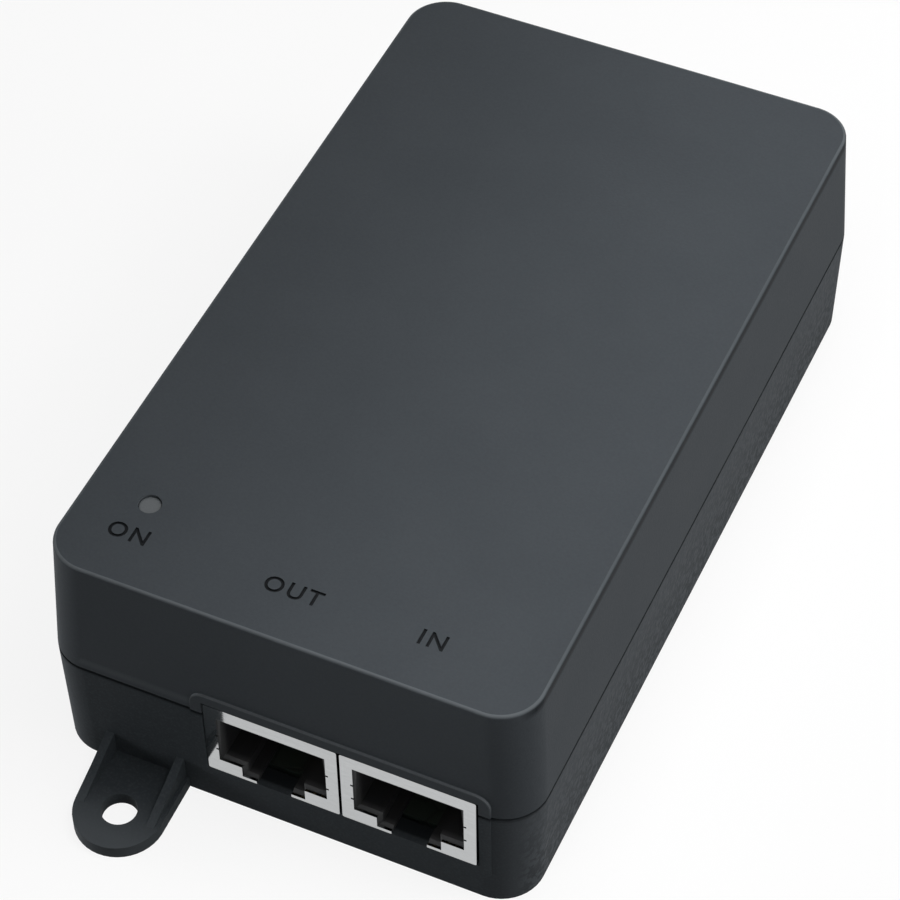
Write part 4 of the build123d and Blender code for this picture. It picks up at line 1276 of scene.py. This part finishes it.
# ---------------- mains inlet
@dataclass
class MainsInlet(Assembly):
    """The mains inlet in the far end: its black body and three blades."""

    mouth_chamfer: float = 0.4 * MM
    mouth_margin: float = 0.6 * MM
    tip_chamfer: float = 0.4 * MM
    blade_rounding: float = 0.12 * MM
    blade_reach: float = 8.0 * MM

    def build(self) -> None:
        """Breaks the edges of the mouth and of the blades' tips."""
        self.build_body()
        self.build_blades("inlet_power_blades", "power_blades")
        self.build_blades("inlet_earth_blade", "earth_blade")

    def build_body(self) -> None:
        """Breaks the edge of the six-sided mouth."""
        low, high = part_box("inlet_housing")
        body = Workpiece.of_node("inlet_housing", "inlet_body")
        body.round_edges(self.mouth_chamfer, 2, lambda place, line: place.y > high.y - TOUCHING
                         and low.x + self.mouth_margin < place.x < high.x - self.mouth_margin
                         and low.z + self.mouth_margin < place.z < high.z - self.mouth_margin)
        body.paint(INSERT.make()).fit("case", "socket_plastic", "inlet_housing")

    def build_blades(self, node: str, name: str) -> None:
        """Chamfers the tips of the blades and softens their long edges.

        Args:
            node: The CAD node they stand for.
            name: The name of the new piece.
        """
        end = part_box(node)[1].y
        blades = Workpiece.of_node(node, name)
        blades.round_edges(self.tip_chamfer, 1, lambda place, line: place.y > end - TOUCHING)
        blades.round_edges(self.blade_rounding, 2,
                           lambda place, line: abs(line.y) > 0.99 and place.y > end - self.blade_reach)
        blades.paint(BLADE.make()).fit("case", "blade_metal", node)


# ---------------- power board
@dataclass
class PowerBoard(Assembly):
    """The circuit board and everything soldered to it, all kept from the CAD."""

    half_fuse: float = 3.0 * MM
    stripe_share: float = 0.08

    def dress(self) -> None:
        """Gives each part on the board its finish."""
        plain = {
            ("circuit_board", BOARD): ("main_board",),
            ("insulation", SHEET): ("insulation_sheet",),
            ("screw_steel", SCREW_STEEL): ("board_screws", "heatsink_screws"),
            ("capacitor_box", CAPACITOR_BOX): ("x_capacitor",),
            ("ferrite", FERRITE): ("line_choke_core", "transformer_core", "output_inductor_core"),
            ("copper_wire", COPPER): (
                "line_choke_windings", "transformer_windings", "output_inductor_winding",
            ),
            ("disc_coating", DISC_GREEN): ("thermistor",),
            ("disc_coating", DISC_BLUE): ("y_capacitor",),
            ("chip_resin", CHIP_RESIN): (
                "bridge_rectifier", "switch_transistor", "output_diode", "optocoupler", "supply_controller",
                "port_controller", "network_transformer",
            ),
            ("can_metal", CAN): ("bulk_capacitor_can", "output_capacitor_cans"),
            ("bobbin_plastic", BOBBIN): ("transformer_bobbin",),
            ("tape", TAPE): ("transformer_tape",),
            ("heatsink_metal", HEATSINK): ("primary_heatsink", "secondary_heatsink"),
            ("pad_rubber", PAD): ("heatsink_pads",),
            ("chip_ceramic", CHIP_CERAMIC): ("chip_parts",),
        }
        for (slot, finish), nodes in plain.items():
            material = finish.make()
            for node in nodes:
                dress_node(node, material)
        for node in ("bulk_capacitor_sleeve", "output_capacitor_sleeves"):
            low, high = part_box(node)
            stripe_x = low.x + (high.x - low.x) * self.stripe_share
            dress_node(node, replace(SLEEVE, stripe_x=stripe_x).make())
        low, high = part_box("fuse")
        fuse = replace(FUSE, middle_y=(low.y + high.y) / 2, half_body=self.half_fuse)
        dress_node("fuse", fuse.make())


# ---------------- studio
@dataclass
class Studio:
    """The floor, the lights, the surroundings and the camera."""

    eye: Vector
    aim: Vector
    roll: float
    lens: float
    floor_glow: tuple[float, ...] = (250.0 * MM, 900.0 * MM, 0.86, 1.0)
    floor_unseen: Colour = (0.08, 0.08, 0.08)
    floor_seen: Colour = (0.85, 0.85, 0.85)
    world_glow: tuple[float, ...] = (0.0, 1.0, 0.02, 1.0)

    def build(self) -> None:
        """Builds the floor, the surroundings, the lights and the camera."""
        self.build_floor()
        self.build_world()
        self.build_lights()
        self.build_camera()

    @staticmethod
    def seen(wiring: Wiring) -> Socket:
        """Marks the rays that see the surroundings directly, in gloss or through glass.

        Args:
            wiring: The wiring of the material or the world.

        Returns:
            A mask that is 1 for these rays.
        """
        path = wiring.node("LightPath").outputs
        direct = wiring.sum("MAXIMUM", path["Is Camera Ray"], path["Is Glossy Ray"])
        return wiring.sum("MAXIMUM", direct, path["Is Transmission Ray"])

    def build_floor(self) -> None:
        """Lays a plain pale floor that keeps a faint shadow; far off it is as white as the surroundings."""
        clear_selection()
        bpy.ops.mesh.primitive_plane_add(size=6.0, location=(0.0, 0.0, 0.0))
        floor = bpy.context.object
        floor.name = "floor"
        material = bpy.data.materials.new("pale floor")
        material.use_nodes = True
        nodes = material.node_tree.nodes
        nodes.remove(nodes["Principled BSDF"])
        wiring = Wiring(material.node_tree)
        seen = self.seen(wiring)
        lit = wiring.node("BsdfDiffuse", Color=wiring.mixed(seen, self.floor_unseen, self.floor_seen))
        glow = wiring.node("Emission", Color=(1.0, 1.0, 1.0, 1.0), Strength=1.0)
        away = wiring.node("VectorMath", wiring.place(), operation="LENGTH").outputs["Value"]
        share = wiring.product(seen, wiring.span(away, *self.floor_glow))
        mix = wiring.node("MixShader", share, lit.outputs[0], glow.outputs[0])
        wiring.feed(nodes["Material Output"].inputs["Surface"], mix.outputs[0])
        floor.data.materials.append(material)

    def build_world(self) -> None:
        """Makes the surroundings white to the eye and dimmer as a light."""
        world = bpy.data.worlds.new("studio")
        bpy.context.scene.world = world
        world.use_nodes = True
        wiring = Wiring(world.node_tree)
        strength = wiring.span(self.seen(wiring), *self.world_glow)
        wiring.fill(world.node_tree.nodes["Background"], Color=(1.0, 1.0, 1.0, 1.0), Strength=strength)

    def build_lights(self) -> None:
        """Hangs the lights: three at the right, one above, a slim one over the edge and one at the left."""
        self.soft_light("side light", mm(450, -300, 100), mm(25, -40, 15), (0.3, 0.2), 0.36)
        self.soft_light("far side light", mm(370, 170, 110), mm(25, 15, 15), (0.25, 0.15), 0.16)
        self.soft_light("upper side light", mm(330, 60, 300), mm(10, 10, 10), (0.20, 0.55), 1.30)
        self.soft_light("top light", mm(60, 120, 600), mm(0, 0, 10), (0.5, 0.5), 1.25)
        self.soft_light("edge light", mm(24, 0, 82), mm(24, 0, 20), (0.02, 0.32), 0.075)
        self.soft_light("left light", mm(-470, -150, 60), mm(0, 0, 15), (0.3, 0.15), 1.60)

    @staticmethod
    def soft_light(name: str, place: Vector, aim: Vector, size: tuple[float, float], watts: float) -> None:
        """Hangs one rectangular light.

        Args:
            name: Its name.
            place: Where it hangs.
            aim: Where it points.
            size: Its width and length.
            watts: Its power.
        """
        data = bpy.data.lights.new(name, "AREA")
        data.shape = "RECTANGLE"
        data.size, data.size_y = size
        data.energy = watts
        light = bpy.data.objects.new(name, data)
        bpy.context.scene.collection.objects.link(light)
        light.location = place
        light.rotation_euler = (aim - place).to_track_quat("-Z", "Y").to_euler()
        light.visible_camera = False

    def build_camera(self) -> None:
        """Sets the camera at its place, aimed and rolled."""
        data = bpy.data.cameras.new("camera")
        data.sensor_width = 36.0
        data.lens = self.lens
        data.clip_start, data.clip_end = 0.01, 20.0
        camera = bpy.data.objects.new("camera", data)
        bpy.context.scene.collection.objects.link(camera)
        back = (self.eye - self.aim).normalized()
        side = Vector((0.0, 0.0, 1.0)).cross(back).normalized()
        up = back.cross(side)
        turned_side = side * math.cos(self.roll) + up * math.sin(self.roll)
        turned_up = up * math.cos(self.roll) - side * math.sin(self.roll)
        turn = Matrix((turned_side, turned_up, back)).transposed().to_4x4()
        camera.matrix_world = Matrix.Translation(self.eye) @ turn
        bpy.context.scene.camera = camera
        bpy.context.scene.view_settings.view_transform = "Standard"


def main() -> None:
    """Builds and dresses every sub-assembly in order, then the studio."""
    logging.basicConfig(level=logging.INFO, format="%(name)s: %(message)s")
    sockets = (NetworkSocket("out"), NetworkSocket("in"))
    for assembly in (CaseShells(), Indicator(), *sockets, MainsInlet(), PowerBoard()):
        assembly.build()
        assembly.dress()
    eye, aim = mm(106.181, -230.604, 299.710), mm(-0.5129, -4.9602, 15.0)
    Studio(eye=eye, aim=aim, roll=-0.018921, lens=131.663).build()
    clear_selection()


if __name__ == "__main__":
    main()
